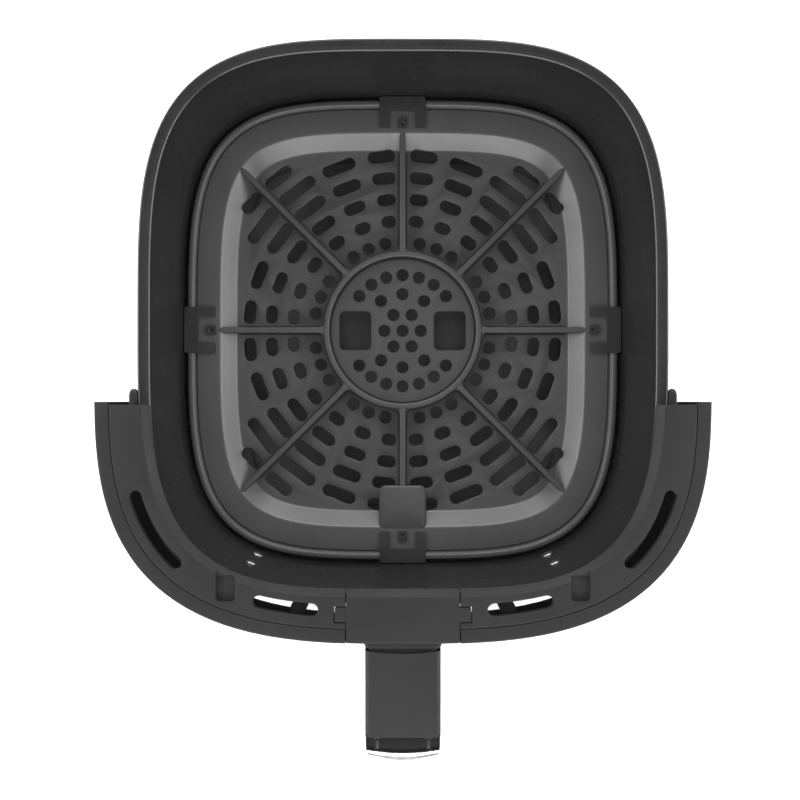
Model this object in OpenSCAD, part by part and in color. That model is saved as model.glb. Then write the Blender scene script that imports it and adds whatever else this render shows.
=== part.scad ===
/* [Pot] */
// Inside width of the pot's mouth, left to right
mouth_w = 256.4; // [214:0.2:308]
// Inside length of the pot's mouth, front to back
mouth_l = 273.4; // [230:0.2:328]
// Squareness of the mouth: 2 is an ellipse, more is squarer
mouth_n = 3.7; // [3.2:0.1:4.5]
// Height of the rim above the pot's flat bottom
pot_h = 112; // [94:1:134]
// Sheet thickness of the pot
pot_t = 1.2; // [0.8:0.1:2]
// Draft of the pot's wall, in degrees
pot_draft = 1.8; // [1:0.1:4]
// Inside radius between the wall and the floor
pot_floor_r = 16; // [8:1:24]
// Width of the turned-out rim
rim_w = 7; // [5:0.5:10]
// Height of the rim's turned-down lip
rim_lip = 4; // [2.5:0.5:6]

/* [Crisper plate] */
// Depth of the plate's flat band below the rim
plate_depth = 75; // [60:1:78]
// Sheet thickness of the plate
plate_t = 1.8; // [1.2:0.1:2.5]
// Gap between the plate's edge and the pot's wall
plate_gap = 2.2; // [1.2:0.1:3.5]
// Width of the flat band, from the plate's edge to the slope
band_w = 18.6; // [16:0.2:24]
// Width of the slope, seen from above
slope_w = 9; // [6:0.5:14]
// How far the perforated floor lies below the flat band
floor_drop = 8; // [5:0.5:12]
// Radius of the middle of the ring rib
ring_r = 44; // [40:1:50]
// Width of the ring rib and of the radial ribs
rib_w = 3.4; // [2.4:0.2:5]
// Radius of the round holes
hole_r = 3.45; // [2.5:0.05:4]
// Width of the slots
slot_w = 6.7; // [5:0.1:8]
// Radius of the innermost row of slots
row_r = 64; // [60:0.5:70]
// Distance from one row of slots to the next
row_pitch = 12.7; // [11:0.1:15]
// Width of each finger hole
finger_w = 18.2; // [16:0.2:20]
// Length of each finger hole
finger_l = 22.4; // [18:0.2:26]
// Width of the pad at the end of the front rib
pad_w = 27; // [20:1:34]

/* [Bumpers] */
// Length of each bumper along the plate's edge
bumper_l = 26.5; // [20:0.5:34]
// How far a bumper's arms reach in from the pot's wall
bumper_reach = 18.3; // [16:0.1:20]
// Width of a bumper's outer band
bumper_band = 8.4; // [7:0.1:10]
// Width of a bumper's arms
bumper_arm = 6; // [4:0.5:8]
// Thickness of the silicone above and below the plate
bumper_t = 1.6; // [1.2:0.1:2.4]

/* [Collar and front] */
// How far the front's outline stands out beside the mouth
side_reach = 27.4; // [24:0.2:34]
// How far the front's outline stands out before the mouth
front_reach = 26.6; // [24:0.2:34]
// Squareness of the front's outline
front_n = 2.95; // [2.6:0.05:3.4]
// How far behind the pot's middle the front's outline has its centre, negative towards the handle
front_cy = -30; // [-40:1:-20]
// Where the side arms end, before the pot's middle
arm_end = 42.8; // [36:0.2:60]
// Height of the collar's top above the pot's rim
collar_rise = 5; // [4:0.5:7]
// Thickness of the collar's top plate
collar_t = 4.6; // [3:0.1:5.2]
// Width of the front shell's top edge outside the collar
shell_lip = 7; // [6:0.5:9]
// Wall of the front shell
shell_t = 2.6; // [2:0.1:3.4]
// How far the front shell swells outward below its top edge
shell_swell = 8; // [4:0.5:12]
// Gap between the front shell's lower edge and the surface that the pot stands on
shell_foot_gap = 6; // [4:1:12]
// Width of the vent slots
vent_w = 6.4; // [5:0.2:7.4]
// Diameter of the shank of the collar's screws
screw_d = 2.9; // [2.5:0.1:3.5]

/* [Handle] */
// Width of the bridge piece between the two collar halves
bridge_w = 57.4; // [52:0.2:70]
// Width of the handle
handle_w = 38.4; // [34:0.2:46]
// Length of the arm, from the front shell to the grip's rounded front
arm_l = 46; // [40:1:60]
// How far the grip's front bulges beyond the arm
grip_bulge = 25.4; // [23:0.2:32]
// Height of the grip
grip_h = 92; // [76:1:104]
// Height of the arm's section
arm_h = 18; // [15:1:22]
// Wall of the handle's shells
handle_t = 2.4; // [2:0.1:3]
// Thickness of the metal trim
trim_t = 1.8; // [1.2:0.1:2.4]
// Diameter of the handle bolts
bolt_d = 5; // [4:0.5:6]

/* [Hidden] */

// Colours
coat = "#3a3a3a";
moulding = "#424242";
silicone = "#303030";
steel = "#b4b4b8";
chrome = "#e8e8ea";

// Outlines: [half width, half length, squareness, centre in y]
mouth = [mouth_w / 2, mouth_l / 2, mouth_n, 0];
front = [mouth_w / 2 + side_reach, mouth_l / 2 + front_reach + front_cy, front_n, front_cy];
steps = 80;          // points round a full outline
part_steps = 44;     // points along one side of the front

// Heights
collar_z = pot_h + collar_rise;
collar_low = collar_z - collar_t;
plate_z = pot_h - plate_depth;
floor_z = plate_z - floor_drop;
shell_low = shell_foot_gap;

// Fits
slide_gap = 0.3;     // between the crisper plate's body and the pot
seat_gap = 0.1;      // between pieces that are screwed together
seam_gap = 0.5;      // visible joints between mouldings
screw_gap = 0.2;     // round a screw in its clearance hole

// Offsets from the mouth's outline
plate_edge = -plate_depth * tan(pot_draft) - plate_gap;
bead_w = 3.4;
bead_h = 1;
groove_w = 2.2;
groove_d = 0.6;
slope_top = plate_edge - band_w;
slope_low = slope_top - slope_w;

// Slots in the floor: angle from the nearest straight rib, and slots beside the diagonals
slot_angles = [7, 21.3, 36.9];
slot_rows = 4;
slot_grow = [[8.6, 9.4, 9.8], [10.8, 12.7, 15], [13.6, 16.8, 20.2], [15.9, 20, 24.3]];
corner_slots = [[51, 17.9], [40.4, 14.5]];
floor_n = 4.5;        // squareness of the region that the slots fill
keep_limit = 0.992;
centre_rows = [[10.6, [for (i = [0:5]) i * 60]],
               [21.4, [for (s = [90, 270], d = [-36, 0, 36]) s + d]],
               [32.4, [for (s = [90, 270], i = [-3:3]) s + i * 17.1]]];
outer_ring_r = 51.4;
finger_x = 27.6;
bumper_skirt = 3;     // how far a bumper's band hangs below its lower arms
bumper_fit = 0.05;    // between the silicone and the plate
stud_w = 5.2;         // square stud that holds each bumper's tongue in the plate
ring_proud = 0.2;     // top of the ring rib above the radial ribs

// Front
vent_long = [199.5, 223.6];  // stretch of the long vent, in degrees of the outline
vent_long_in = 15.3;         // its middle line, inside the front's outline
vent_short_x = [47.4, 76.2]; // stretch of the short vent, from the centre plane
vent_short_in = 16;
latch_x = 89.5;
latch_w = 9.6;
latch_l = 13;
latch_d = 2;
collar_edge = 1;             // upright edge round the mouth
collar_slope = 4.2;          // width of the slope inside the ridge
boss_r = 4;
boss_h = 22;
boss_angles = [185.5, 238, 257.5];
boss_in = [12.2, 12.2, 14.8];
carrier_wall = [9.4, 11.6];  // offsets of the carrier's wall from the mouth
tongue_w = 4.2;
tongue_l = 8.3;
carrier_angles = [195, 229];
carrier_end = 234;
shell_extra = 1.5;
tab_l = 6.2;
tab_w = 7.4;
tab_y = -front_reach / 2 - mouth_l / 2 + 1.5;

// Bracket and rivets
rivet_x = mouth_w / 2 * 0.64;
rivet_z = [pot_h - 34, pot_h - 60];
rivet_r = 2.4;
rivet_head_r = 3.4;
bracket_t = 1.6;
bracket_h = 44;
bracket_low = pot_h - 70;

// Handle
root_y = -(mouth_l / 2 + front_reach);
grip_cy = root_y - arm_l;
handle_top = collar_z - 1.5;
grip_cz = handle_top - grip_h * 0.45;
grip_up = handle_top - grip_cz;
grip_down = grip_h - grip_up;
grip_n = 2.5;
back_y = grip_cy - 3.4;
cap_in = 6;
core_w = 20;
core_t = 3;
core_reach = 2.4;
core_drop = 4;       // from the grip's inner top to the stiffener
core_z = handle_top - cap_in - handle_t - core_t / 2 - core_drop;
bolt_x = 11;
core_foot_w = 2 * bolt_x + 9.2;
core_foot_h = 11;
bolt_z = core_z + 4.8;
cap_from = 78;
cap_to = -60;
cap_step = 1.8;
trim_from = 72;
trim_to = -74;
cover_z = grip_cz - grip_down + 15;
cover_l = grip_h * 0.62 - 16;
cover_t = 2.2;
fit = 0.15;
clip_d = 4;
clip_l = 3.4;
grip_outline = [grip_bulge, grip_up, grip_n, 0];
grip_low = [grip_bulge, grip_down, grip_n, 0];
grip_foot = 4;       // chamfer at the grip's lower back corner
arm_corner = 12;     // inner corner between arm and grip
apron_h = 30;
apron_in = 0.3;      // how far the apron's top edge lies inside the bridge's edge
bridge_back = 1;
stub_l = 3.6;
pad_l = 6;
tongue_plate_w = 36;
bridge_boss = [22, 7.5];
bridge_boss_low = collar_z - apron_h + 2;
arm_low = handle_top - arm_h;
body_top_y = grip_cy - 1.4;
arm_root = root_y - stub_l - seat_gap;
bolt_y = root_y + pad_l + bracket_t + seat_gap;

// Point of an outline c at parameter t, moved out by d along the outline's normal
function sgn_pow(v, p) = sign(v) * pow(abs(v), p);
function on_curve(c, t) = [c[0] * sgn_pow(cos(t), 2 / c[2]), c[3] + c[1] * sgn_pow(sin(t), 2 / c[2])];
function normal(c, t) =
    let (v = [sgn_pow(cos(t), 2 - 2 / c[2]) / c[0], sgn_pow(sin(t), 2 - 2 / c[2]) / c[1]]) v / norm(v);
function moved(c, t, d) = on_curve(c, t) + d * normal(c, t);
// Parameter at which an outline reaches a given distance from its centre plane, on the left front
function t_at_x(c, x) = 180 + acos(pow(abs(x) / c[0], c[2] / 2));
function t_at_y(c, y) = 180 + asin(pow(abs(y - c[3]) / c[1], c[2] / 2));
// How far out a point lies: 1 on the outline of half sizes a and b
function out_ratio(a, b, n, p) = pow(pow(abs(p[0]) / a, n) + pow(abs(p[1]) / b, n), 1 / n);
function ring_points(c, d, n) = [for (i = [0:n - 1]) moved(c, i * 360 / n, d)];
function mix(a, b, s) = a * (1 - s) + b * s;
function spin(r, a) = [r * cos(a), r * sin(a)];

// Solid from a list of equal-length closed loops of 3-D points. Its two end faces are cut into
// strips across the loop, so that the loop may be bent like a channel
module loft(loops) {
    m = len(loops[0]);
    k = len(loops);
    points = [for (l = loops, p = l) p];
    sides = [for (i = [0:k - 2], j = [0:m - 1], half = [0, 1])
        let (a = i * m + j, b = i * m + (j + 1) % m, c = a + m, d = b + m)
        half == 0 ? [a, c, b] : [b, c, d]];
    polyhedron(points, concat(sides, cap(m, 0, false), cap(m, (k - 1) * m, true)), convexity = 10);
}

// Triangles that close a loop of m points from point `first`: strips between its two halves
function cap(m, first, flip) =
    let (tris = [for (j = [0:ceil(m / 2) - 2], half = [0, 1])
                 let (a = j, b = j + 1, c = m - 1 - j, d = m - 2 - j)
                 if (half == 0 ? b != c : d > b) half == 0 ? [a, b, c] : [b, d, c]])
    [for (t = tris) first * [1, 1, 1] + (flip ? [t[2], t[1], t[0]] : t)];

// Closed ring: the outline sec of [offset, z] carried once round the curve c
module ring_sweep(c, sec, n = steps) {
    m = len(sec);
    points = [for (i = [0:n - 1], s = sec) concat(moved(c, i * 360 / n, s[0]), s[1])];
    faces = [for (i = [0:n - 1], j = [0:m - 1], half = [0, 1])
        let (i2 = (i + 1) % n, j2 = (j + 1) % m, a = i * m + j, b = i * m + j2,
             d = i2 * m + j, e = i2 * m + j2)
        half == 0 ? [a, d, b] : [b, d, e]];
    polyhedron(points, faces, convexity = 10);
}

// Open strip: the outline sec of [offset, z] carried along the curve c from t0 to t1
module strip_sweep(c, sec, t0, t1, n = part_steps) {
    loft([for (i = [0:n]) [for (s = sec) concat(moved(c, mix(t0, t1, i / n), s[0]), s[1])]]);
}

// Flat region between two offsets of a curve, with round ends
module vent_shape(c, inset, t0, t1, w, n = 14) {
    line = [for (i = [0:n]) mix(t0, t1, i / n)];
    polygon(concat([for (t = line) moved(c, t, -inset - w / 2)],
                   [for (i = [n:-1:0]) moved(c, line[i], -inset + w / 2)]));
    for (t = [t0, t1])
        translate(moved(c, t, -inset)) circle(d = w, $fn = 32);
}

module rounded_box(size, r) {
    for (s = [[size[0], size[1] - 2 * r, size[2]], [size[0] - 2 * r, size[1], size[2]]])
        translate([-s[0] / 2, -s[1] / 2, 0]) cube(s);
    for (x = [-1, 1], y = [-1, 1])
        translate([x * (size[0] / 2 - r), y * (size[1] / 2 - r), 0]) cylinder(r = r, h = size[2], $fn = 32);
}

// ---- Pot ----

function wall_off(z) = -(pot_h - z) * tan(pot_draft);

module pot_shell() {
    lip_low = pot_h - rim_lip;
    corner = 2;
    inner_corner = [for (a = [90:-22.5:0])
        [wall_off(pot_h - corner) + corner - corner * sin(a), pot_h - corner + corner * cos(a)]];
    inner_floor = [for (a = [0:15:90])
        let (r = pot_floor_r)
        [wall_off(pot_t + r) - r + r * cos(a), pot_t + r - r * sin(a)]];
    outer_floor = [for (a = [90:-15:0])
        let (r = pot_floor_r + pot_t)
        [wall_off(r) + pot_t - r + r * cos(a), r - r * sin(a)]];
    outside = concat(outer_floor, [
        [pot_t, pot_h - 2 * pot_t - 0.6],
        [pot_t * 2, pot_h - pot_t - 0.4],
        [rim_w - pot_t, pot_h - pot_t - 0.8],
        [rim_w - pot_t, lip_low],
        [rim_w, lip_low],
        [rim_w, pot_h - 1.4],
        [rim_w - 1, pot_h - 0.5]]);
    inside = [for (i = [len(inner_corner) - 1:-1:0]) inner_corner[i]];
    profile = concat(outside, inside, inner_floor);
    color(coat) difference() {
        loft([for (p = profile) [for (q = ring_points(mouth, p[0], steps)) concat(q, p[1])]]);
        at_rivets() translate([0, 0, -4]) cylinder(r = rivet_r, h = pot_t + 8, $fn = 32);
    }
}

module at_rivets() {
    for (side = [-1, 1], z = rivet_z)
        let (t = side < 0 ? t_at_x(mouth, rivet_x) : 540 - t_at_x(mouth, rivet_x),
             n = normal(mouth, t), p = moved(mouth, t, wall_off(z)))
        translate(concat(p, z)) rotate([0, 90, atan2(n[1], n[0])]) children();
}

module pot_bracket() {
    t_end = t_at_x(mouth, rivet_x + 9);
    top = bracket_low + bracket_h;
    color(steel) difference() {
        strip_sweep(mouth, [
            [wall_off(bracket_low) + pot_t + seat_gap, bracket_low],
            [wall_off(top) + pot_t + seat_gap, top],
            [wall_off(top) + pot_t + seat_gap + bracket_t, top],
            [wall_off(bracket_low) + pot_t + seat_gap + bracket_t, bracket_low]],
            t_end, 540 - t_end);
        at_rivets() cylinder(r = rivet_r, h = 3 * bracket_t + pot_t, $fn = 32);
    }
    color(steel) difference() {
        union() {
            y0 = moved(mouth, 270, wall_off(top) + pot_t + seat_gap + bracket_t / 2)[1];
            y1 = root_y + pad_l;
            translate([-tongue_plate_w / 2, y1, top - bracket_t]) cube([tongue_plate_w, y0 - y1, bracket_t]);
            translate([-tongue_plate_w / 2, y1, top - bracket_t])
                cube([tongue_plate_w, bracket_t, collar_low - 1 - top + bracket_t]);
        }
        bolt_holes(bolt_d + 2 * screw_gap, root_y + pad_l + 4, 8);
    }
}

// Pair of holes or shanks along y at the handle bolts, from y forward
module bolt_holes(d, y, l) {
    for (x = [-bolt_x, bolt_x])
        translate([x, y, bolt_z]) rotate([90, 0, 0]) cylinder(d = d, h = l, $fn = 32);
}

module pot_rivets() {
    grip = pot_t + bracket_t + 2 * seat_gap;
    color(steel) at_rivets() {
        translate([0, 0, -1.4]) cylinder(r1 = rivet_head_r - 1.4, r2 = rivet_head_r, h = 1.2, $fn = 32);
        translate([0, 0, -0.2]) cylinder(r = rivet_r, h = grip + 0.5, $fn = 32);
        translate([0, 0, grip + 0.2]) cylinder(r1 = rivet_head_r, r2 = rivet_head_r - 1.2, h = 1.4, $fn = 32);
    }
}

// ---- Crisper plate ----

function slope_curve(d) = [mouth[0] + d, mouth[1] + d];
function inside_floor(p) =
    let (c = slope_curve(slope_low)) out_ratio(c[0], c[1], floor_n, p) < keep_limit;
function rib_tip(a) =
    let (s = slope_curve(slope_top), x = abs(cos(a)) / s[0], y = abs(sin(a)) / s[1])
    1 / pow(pow(x, 4) + pow(y, 4), 0.25) + 2;

module slot_cut(r, a, l) {
    rotate([0, 0, a]) translate([r, 0, floor_z - 3]) {
        translate([-slot_w / 2, -(l - slot_w) / 2, 0]) cube([slot_w, l - slot_w, floor_drop + 6]);
        for (s = [-1, 1])
            translate([0, s * (l - slot_w) / 2, 0]) cylinder(d = slot_w, h = floor_drop + 6, $fn = 24);
    }
}

module hole_cut(r, a) {
    translate(concat(spin(r, a), floor_z - 3)) cylinder(r = hole_r, h = plate_t + 6, $fn = 24);
}

module plate_holes() {
    hole_cut(0, 0);
    for (row = centre_rows, a = row[1]) hole_cut(row[0], a);
    for (q = [0:7], d = [-11.25, 0, 11.25]) hole_cut(outer_ring_r, q * 45 + 22.5 + d);
    for (k = [0:slot_rows - 1], base = [0, 90, 180, 270], side = [-1, 1], i = [0:2]) {
        r = row_r + k * row_pitch;
        a = base + side * slot_angles[i];
        if (inside_floor(spin(r, a))) slot_cut(r, a, slot_grow[k][i]);
    }
    for (s = corner_slots, q = [0, 1], side = [-1, 1]) {
        r = row_r + slot_rows * row_pitch;
        a = q * 180 + side * s[0];
        if (inside_floor(spin(r, a))) slot_cut(r, a, s[1]);
    }
    for (x = [-finger_x, finger_x])
        translate([x, 0, floor_z - 3]) rounded_box([finger_w, finger_l, plate_t + 6], 3);
}

module plate_pan() {
    band_low = plate_z - plate_t;
    ring_sweep(mouth, [
        [plate_edge - 0.8, plate_z + bead_h],
        [plate_edge, plate_z + bead_h - 1],
        [plate_edge, band_low - 1.6],
        [plate_edge - 1, band_low - 2],
        [plate_edge - bead_w, band_low],
        [slope_top - plate_t / 2, band_low],
        [slope_low - plate_t / 2, floor_z - plate_t],
        [slope_low - 3, floor_z - plate_t],
        [slope_low - 3, floor_z],
        [slope_low, floor_z],
        [slope_top, plate_z],
        [plate_edge - bead_w - groove_w, plate_z],
        [plate_edge - bead_w - groove_w / 2, plate_z - groove_d],
        [plate_edge - bead_w, plate_z],
        [plate_edge - bead_w + 0.8, plate_z + bead_h]]);
    translate([0, 0, floor_z - plate_t]) linear_extrude(plate_t)
        polygon(ring_points(mouth, slope_low - 2, steps));
}

module plate_ribs() {
    depth = plate_z - floor_z + plate_t / 2;
    for (a = [0:45:315])
        rotate([0, 0, a]) translate([0, 0, plate_z - depth]) linear_extrude(depth)
            polygon([[ring_r, -rib_w / 2], [rib_tip(a) - 3, -rib_w / 2], [rib_tip(a), 0],
                     [rib_tip(a) - 3, rib_w / 2], [ring_r, rib_w / 2]]);
    translate([0, 0, plate_z - depth]) difference() {
        cylinder(r = ring_r + rib_w / 2, h = depth + ring_proud, $fn = 96);
        translate([0, 0, -1]) cylinder(r = ring_r - rib_w / 2, h = depth + 2, $fn = 96);
    }
}

module plate_pad() {
    front_y = slope_curve(slope_top)[1];
    depth = plate_z - floor_z + plate_t / 2;
    l = 25;
    translate([0, -(front_y - l / 2 + 1), plate_z - depth]) rounded_box([pad_w, l, depth], 3.5);
}

// The four places on the plate's edge that carry a bumper: each is at local -y, at the pot's wall
module at_bumper(which) {
    turn = [["front", 0], ["right", 90], ["rear", 180], ["left", 270]];
    a = [for (t = turn) if (t[0] == which) t[1]][0];
    half = (a == 0 || a == 180) ? mouth[1] : mouth[0];
    rotate([0, 0, a]) translate([0, -(half + wall_off(plate_z - 6) - slide_gap), 0]) children();
}

module crisper_plate() {
    notch = bumper_band + 2 * bumper_fit;
    color(coat) difference() {
        union() {
            plate_pan();
            plate_ribs();
            plate_pad();
        }
        plate_holes();
        for (w = ["front", "rear", "left", "right"]) at_bumper(w) {
            translate([-bumper_l / 2 - bumper_fit, -2, plate_z - 10])
                cube([bumper_l + 2 * bumper_fit, notch + 2, 20]);
            translate([-stud_w / 2 - bumper_fit, bumper_reach - stud_w - bumper_fit, plate_z - 10])
                cube([stud_w + 2 * bumper_fit, stud_w + 2 * bumper_fit, 20]);
        }
    }
}

module bumper(which) {
    band_low = plate_z - plate_t;
    window = bumper_l - 2 * bumper_arm;
    low = band_low - bumper_t;
    arm_t = bumper_t - bumper_fit;
    arm_y = bumper_band - 0.2;
    color(silicone) at_bumper(which) {
        difference() {
            translate([-bumper_l / 2, 0, low - bumper_skirt])
                cube([bumper_l, bumper_band, plate_t + 2 * bumper_t + bumper_skirt]);
            translate([-window / 2, 3, low - bumper_skirt - 1])
                cube([window, bumper_band, bumper_skirt + 1]);
        }
        for (z = [plate_z + bumper_fit, low], s = [-1, 1])
            translate([s > 0 ? window / 2 : -bumper_l / 2, arm_y, z])
                cube([bumper_arm, bumper_reach - arm_y, arm_t]);
        translate([-stud_w / 2, arm_y, low]) cube([stud_w, bumper_reach - arm_y, arm_t]);
        translate([-stud_w / 2, bumper_reach - stud_w, low])
            cube([stud_w, stud_w, plate_t + 2 * bumper_t]);
    }
}

module bumper_front() { bumper("front"); }
module bumper_rear() { bumper("rear"); }
module bumper_left() { bumper("left"); }
module bumper_right() { bumper("right"); }

// ---- Collar, drawn on the left and mirrored for the right ----

// Parameter of an outline at a share s of the way from the arm's end to the bridge
function collar_t_at(c, s) = mix(t_at_y(c, -arm_end), t_at_x(c, bridge_w / 2 + seam_gap), s);
function collar_in(s) = moved(mouth, collar_t_at(mouth, s), mix(0.4, -1, s));
function collar_out(s) = moved(front, collar_t_at(front, s), -shell_lip - seam_gap / 2);

module collar_plate() {
    loft([for (i = [0:part_steps])
        let (p = collar_in(i / part_steps), q = collar_out(i / part_steps), u = (q - p) / norm(q - p))
        [concat(p, collar_low), concat(p, collar_low + collar_edge), concat(p + collar_slope * u, collar_z),
         concat(q, collar_z), concat(q, collar_low)]]);
}

module at_bosses() {
    for (i = [0:2]) translate(moved(front, boss_angles[i], -boss_in[i])) children();
}

module collar_half() {
    short = [for (x = vent_short_x) t_at_x(front, x)];
    color(moulding) difference() {
        union() {
            collar_plate();
            at_bosses() translate([0, 0, collar_low - boss_h]) cylinder(r = boss_r, h = boss_h + 1, $fn = 32);
        }
        translate([0, 0, collar_low - 1]) linear_extrude(collar_t + 2) {
            vent_shape(front, vent_long_in, vent_long[0], vent_long[1], vent_w);
            vent_shape(front, vent_short_in, short[0], short[1], vent_w);
        }
        translate([-latch_x - latch_w / 2, -(mouth_l / 2 + 5), collar_z - latch_d])
            cube([latch_w, latch_l, latch_d + 1]);
        translate([-bridge_w / 2 - tab_l, tab_y - tab_w / 2 - seam_gap, collar_low - 1])
            cube([tab_l + 2, tab_w + 2 * seam_gap, collar_t + 2]);
        at_bosses() translate([0, 0, collar_low - boss_h - 1])
            cylinder(d = screw_d, h = boss_h - 2, $fn = 32);
        at_carrier_screws() translate([0, 0, collar_low - 1])
            cylinder(d = screw_d, h = collar_t - 1, $fn = 32);
    }
}

module collar_left() { collar_half(); }
module collar_right() { mirror([1, 0, 0]) collar_half(); }

// ---- Rim carrier: grips the pot's rim from below and ends in a guide tongue ----

module at_carrier_screws() {
    for (t = carrier_angles) translate(moved(mouth, t, (carrier_wall[0] + carrier_wall[1]) / 2)) children();
}

module carrier_half() {
    t0 = t_at_y(mouth, -arm_end);
    shelf_z = pot_h - rim_lip - seat_gap;
    wall_top = collar_low - seat_gap;
    x0 = on_curve(mouth, t0)[0] - carrier_wall[1];
    color(moulding) difference() {
        union() {
            strip_sweep(mouth, [
                [pot_t + 1.2, shelf_z - 2.4], [pot_t + 1.2, shelf_z],
                [carrier_wall[0], shelf_z], [carrier_wall[0], wall_top],
                [carrier_wall[1], wall_top], [carrier_wall[1], shelf_z],
                [carrier_wall[1], shelf_z - 2.4], [carrier_wall[0], shelf_z - 2.4]],
                t0, carrier_end, 30);
            for (t = carrier_angles)
                translate(concat(moved(mouth, t, (carrier_wall[0] + carrier_wall[1]) / 2), shelf_z - 2.4))
                    cylinder(r = 3.2, h = wall_top - shelf_z + 2.4, $fn = 32);
            translate([x0, -arm_end - 6, shelf_z - 2.4]) linear_extrude(wall_top - shelf_z + 1.2)
                polygon([[0, 0], [tongue_w, 0], [tongue_w, 6 + tongue_l - 3], [tongue_w * 0.6, 6 + tongue_l],
                         [tongue_w * 0.4, 6 + tongue_l], [0, 6 + tongue_l - 3]]);
        }
        at_carrier_screws() translate([0, 0, shelf_z - 4])
            cylinder(d = screw_d + 2 * screw_gap, h = 30, $fn = 32);
    }
}

module rim_carrier_left() { carrier_half(); }
module rim_carrier_right() { mirror([1, 0, 0]) carrier_half(); }

module screw(l, d, head_d, head_h) {
    cylinder(d = d, h = l, $fn = 32);
    translate([0, 0, -head_h]) cylinder(d1 = head_d - 1, d2 = head_d, h = head_h, $fn = 32);
}

module carrier_screws() {
    low = pot_h - rim_lip - seat_gap - 2.4 - seat_gap;
    for (m = [0, 1]) mirror([m, 0, 0]) color(steel) at_carrier_screws()
        translate([0, 0, low]) screw(collar_low + collar_t - 2.4 - low, screw_d - 0.1, 5.6, 1.8);
}

// ---- Front shell ----

function swell(z) = shell_swell * sin(90 * min(1, (collar_z - z) / (collar_z - shell_low) * 1.25));

module front_shell() {
    t0 = t_at_y(front, -arm_end + shell_extra);
    lip_low = collar_z - 4;
    levels = [for (i = [0:5]) mix(shell_low, lip_low, i / 5)];
    inner = [for (i = [0:5]) [swell(levels[i]) - shell_t, levels[i]]];
    outer = [for (i = [5:-1:0]) [swell(levels[i]), levels[i]]];
    brow = [[-shell_lip, lip_low], [-shell_lip, collar_z], [-0.8, collar_z], [0, collar_z - 0.8]];
    section = concat(inner, brow, outer);
    reach = swell(bridge_boss_low) - shell_t / 2;
    tab_z = collar_low - boss_h - seat_gap;
    color(moulding) difference() {
        union() {
            strip_sweep(front, section, t0, 540 - t0, 2 * part_steps);
            for (m = [0, 1]) mirror([m, 0, 0]) {
                for (i = [0:2])
                    let (n = normal(front, boss_angles[i]))
                    translate(concat(moved(front, boss_angles[i], -boss_in[i]), tab_z - 3))
                        rotate([0, 0, atan2(n[1], n[0])]) shell_tab(boss_in[i] + swell(tab_z) - shell_t / 2);
                translate([-bridge_boss[0], root_y + bridge_boss[1], bridge_boss_low - seat_gap - 3])
                    rotate([0, 0, -90]) shell_tab(bridge_boss[1] + reach);
            }
        }
        translate([-bridge_w / 2 - seam_gap, root_y - 12, collar_z - apron_h - seam_gap])
            cube([bridge_w + 2 * seam_gap, 24, apron_h + 2]);
        for (m = [0, 1]) mirror([m, 0, 0]) {
            at_bosses() translate([0, 0, tab_z - 18])
                cylinder(d = screw_d + 2 * screw_gap, h = 20, $fn = 32);
            at_bosses() translate([0, 0, tab_z - 18]) cylinder(r = boss_r - 0.6, h = 15, $fn = 32);
        }
        at_bridge_screws() translate([0, 0, bridge_boss_low - 18])
            cylinder(d = screw_d + 2 * screw_gap, h = 20, $fn = 32);
        at_bridge_screws() translate([0, 0, bridge_boss_low - 18])
            cylinder(r = boss_r - 0.6, h = 15, $fn = 32);
    }
}

// Screw tab with a web that runs out to the shell's wall along +x
module shell_tab(reach) {
    cylinder(r = boss_r, h = 3, $fn = 32);
    translate([0, -1.2, -14]) cube([reach, 2.4, 17]);
}

module collar_screws() {
    low = collar_low - boss_h - 2 * seat_gap - 3;
    for (m = [0, 1]) mirror([m, 0, 0]) color(steel) at_bosses()
        translate([0, 0, low]) screw(16, screw_d - 0.1, 5.6, 1.8);
}

// ---- Bridge between the collar halves, which carries the handle ----

module handle_bridge() {
    back = moved(mouth, 270, -bridge_back)[1];
    t0 = t_at_x(front, bridge_w / 2);
    color(moulding) difference() {
        union() {
            translate([0, 0, collar_low]) linear_extrude(collar_t)
                polygon(concat([[-bridge_w / 2, back]],
                               [for (i = [0:12]) on_curve(front, mix(t0, 540 - t0, i / 12))],
                               [[bridge_w / 2, back]]));
            strip_sweep(front, [[-shell_t, collar_z - apron_h], [-shell_t, collar_z - 1],
                                [-apron_in, collar_z - 1], [1, collar_z - apron_h]], t0, 540 - t0, 12);
            translate([-bridge_w / 2 - tab_l + seam_gap, tab_y - tab_w / 2, collar_low])
                cube([bridge_w + 2 * (tab_l - seam_gap), tab_w, collar_t]);
            translate([-handle_w / 2, root_y - stub_l, arm_low]) cube([handle_w, stub_l + 1, arm_h]);
            translate([-tongue_plate_w / 2, root_y + 1, arm_low])
                cube([tongue_plate_w, pad_l - seat_gap - 1, collar_z - arm_low - 1]);
            at_bridge_screws() translate([0, 0, bridge_boss_low])
                cylinder(r = boss_r, h = collar_low - bridge_boss_low + 1, $fn = 32);
        }
        bolt_holes(bolt_d + 2 * screw_gap, root_y + pad_l + 4, 20);
        at_bridge_screws() translate([0, 0, bridge_boss_low - 1])
            cylinder(d = screw_d, h = 16, $fn = 32);
    }
}

module at_bridge_screws() {
    for (x = [-1, 1]) translate([x * bridge_boss[0], root_y + bridge_boss[1], 0]) children();
}

module bridge_screws() {
    color(steel) at_bridge_screws() translate([0, 0, bridge_boss_low - 2 * seat_gap - 3])
        screw(14, screw_d - 0.1, 5.6, 1.8);
}

// ---- Handle ----

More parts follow.
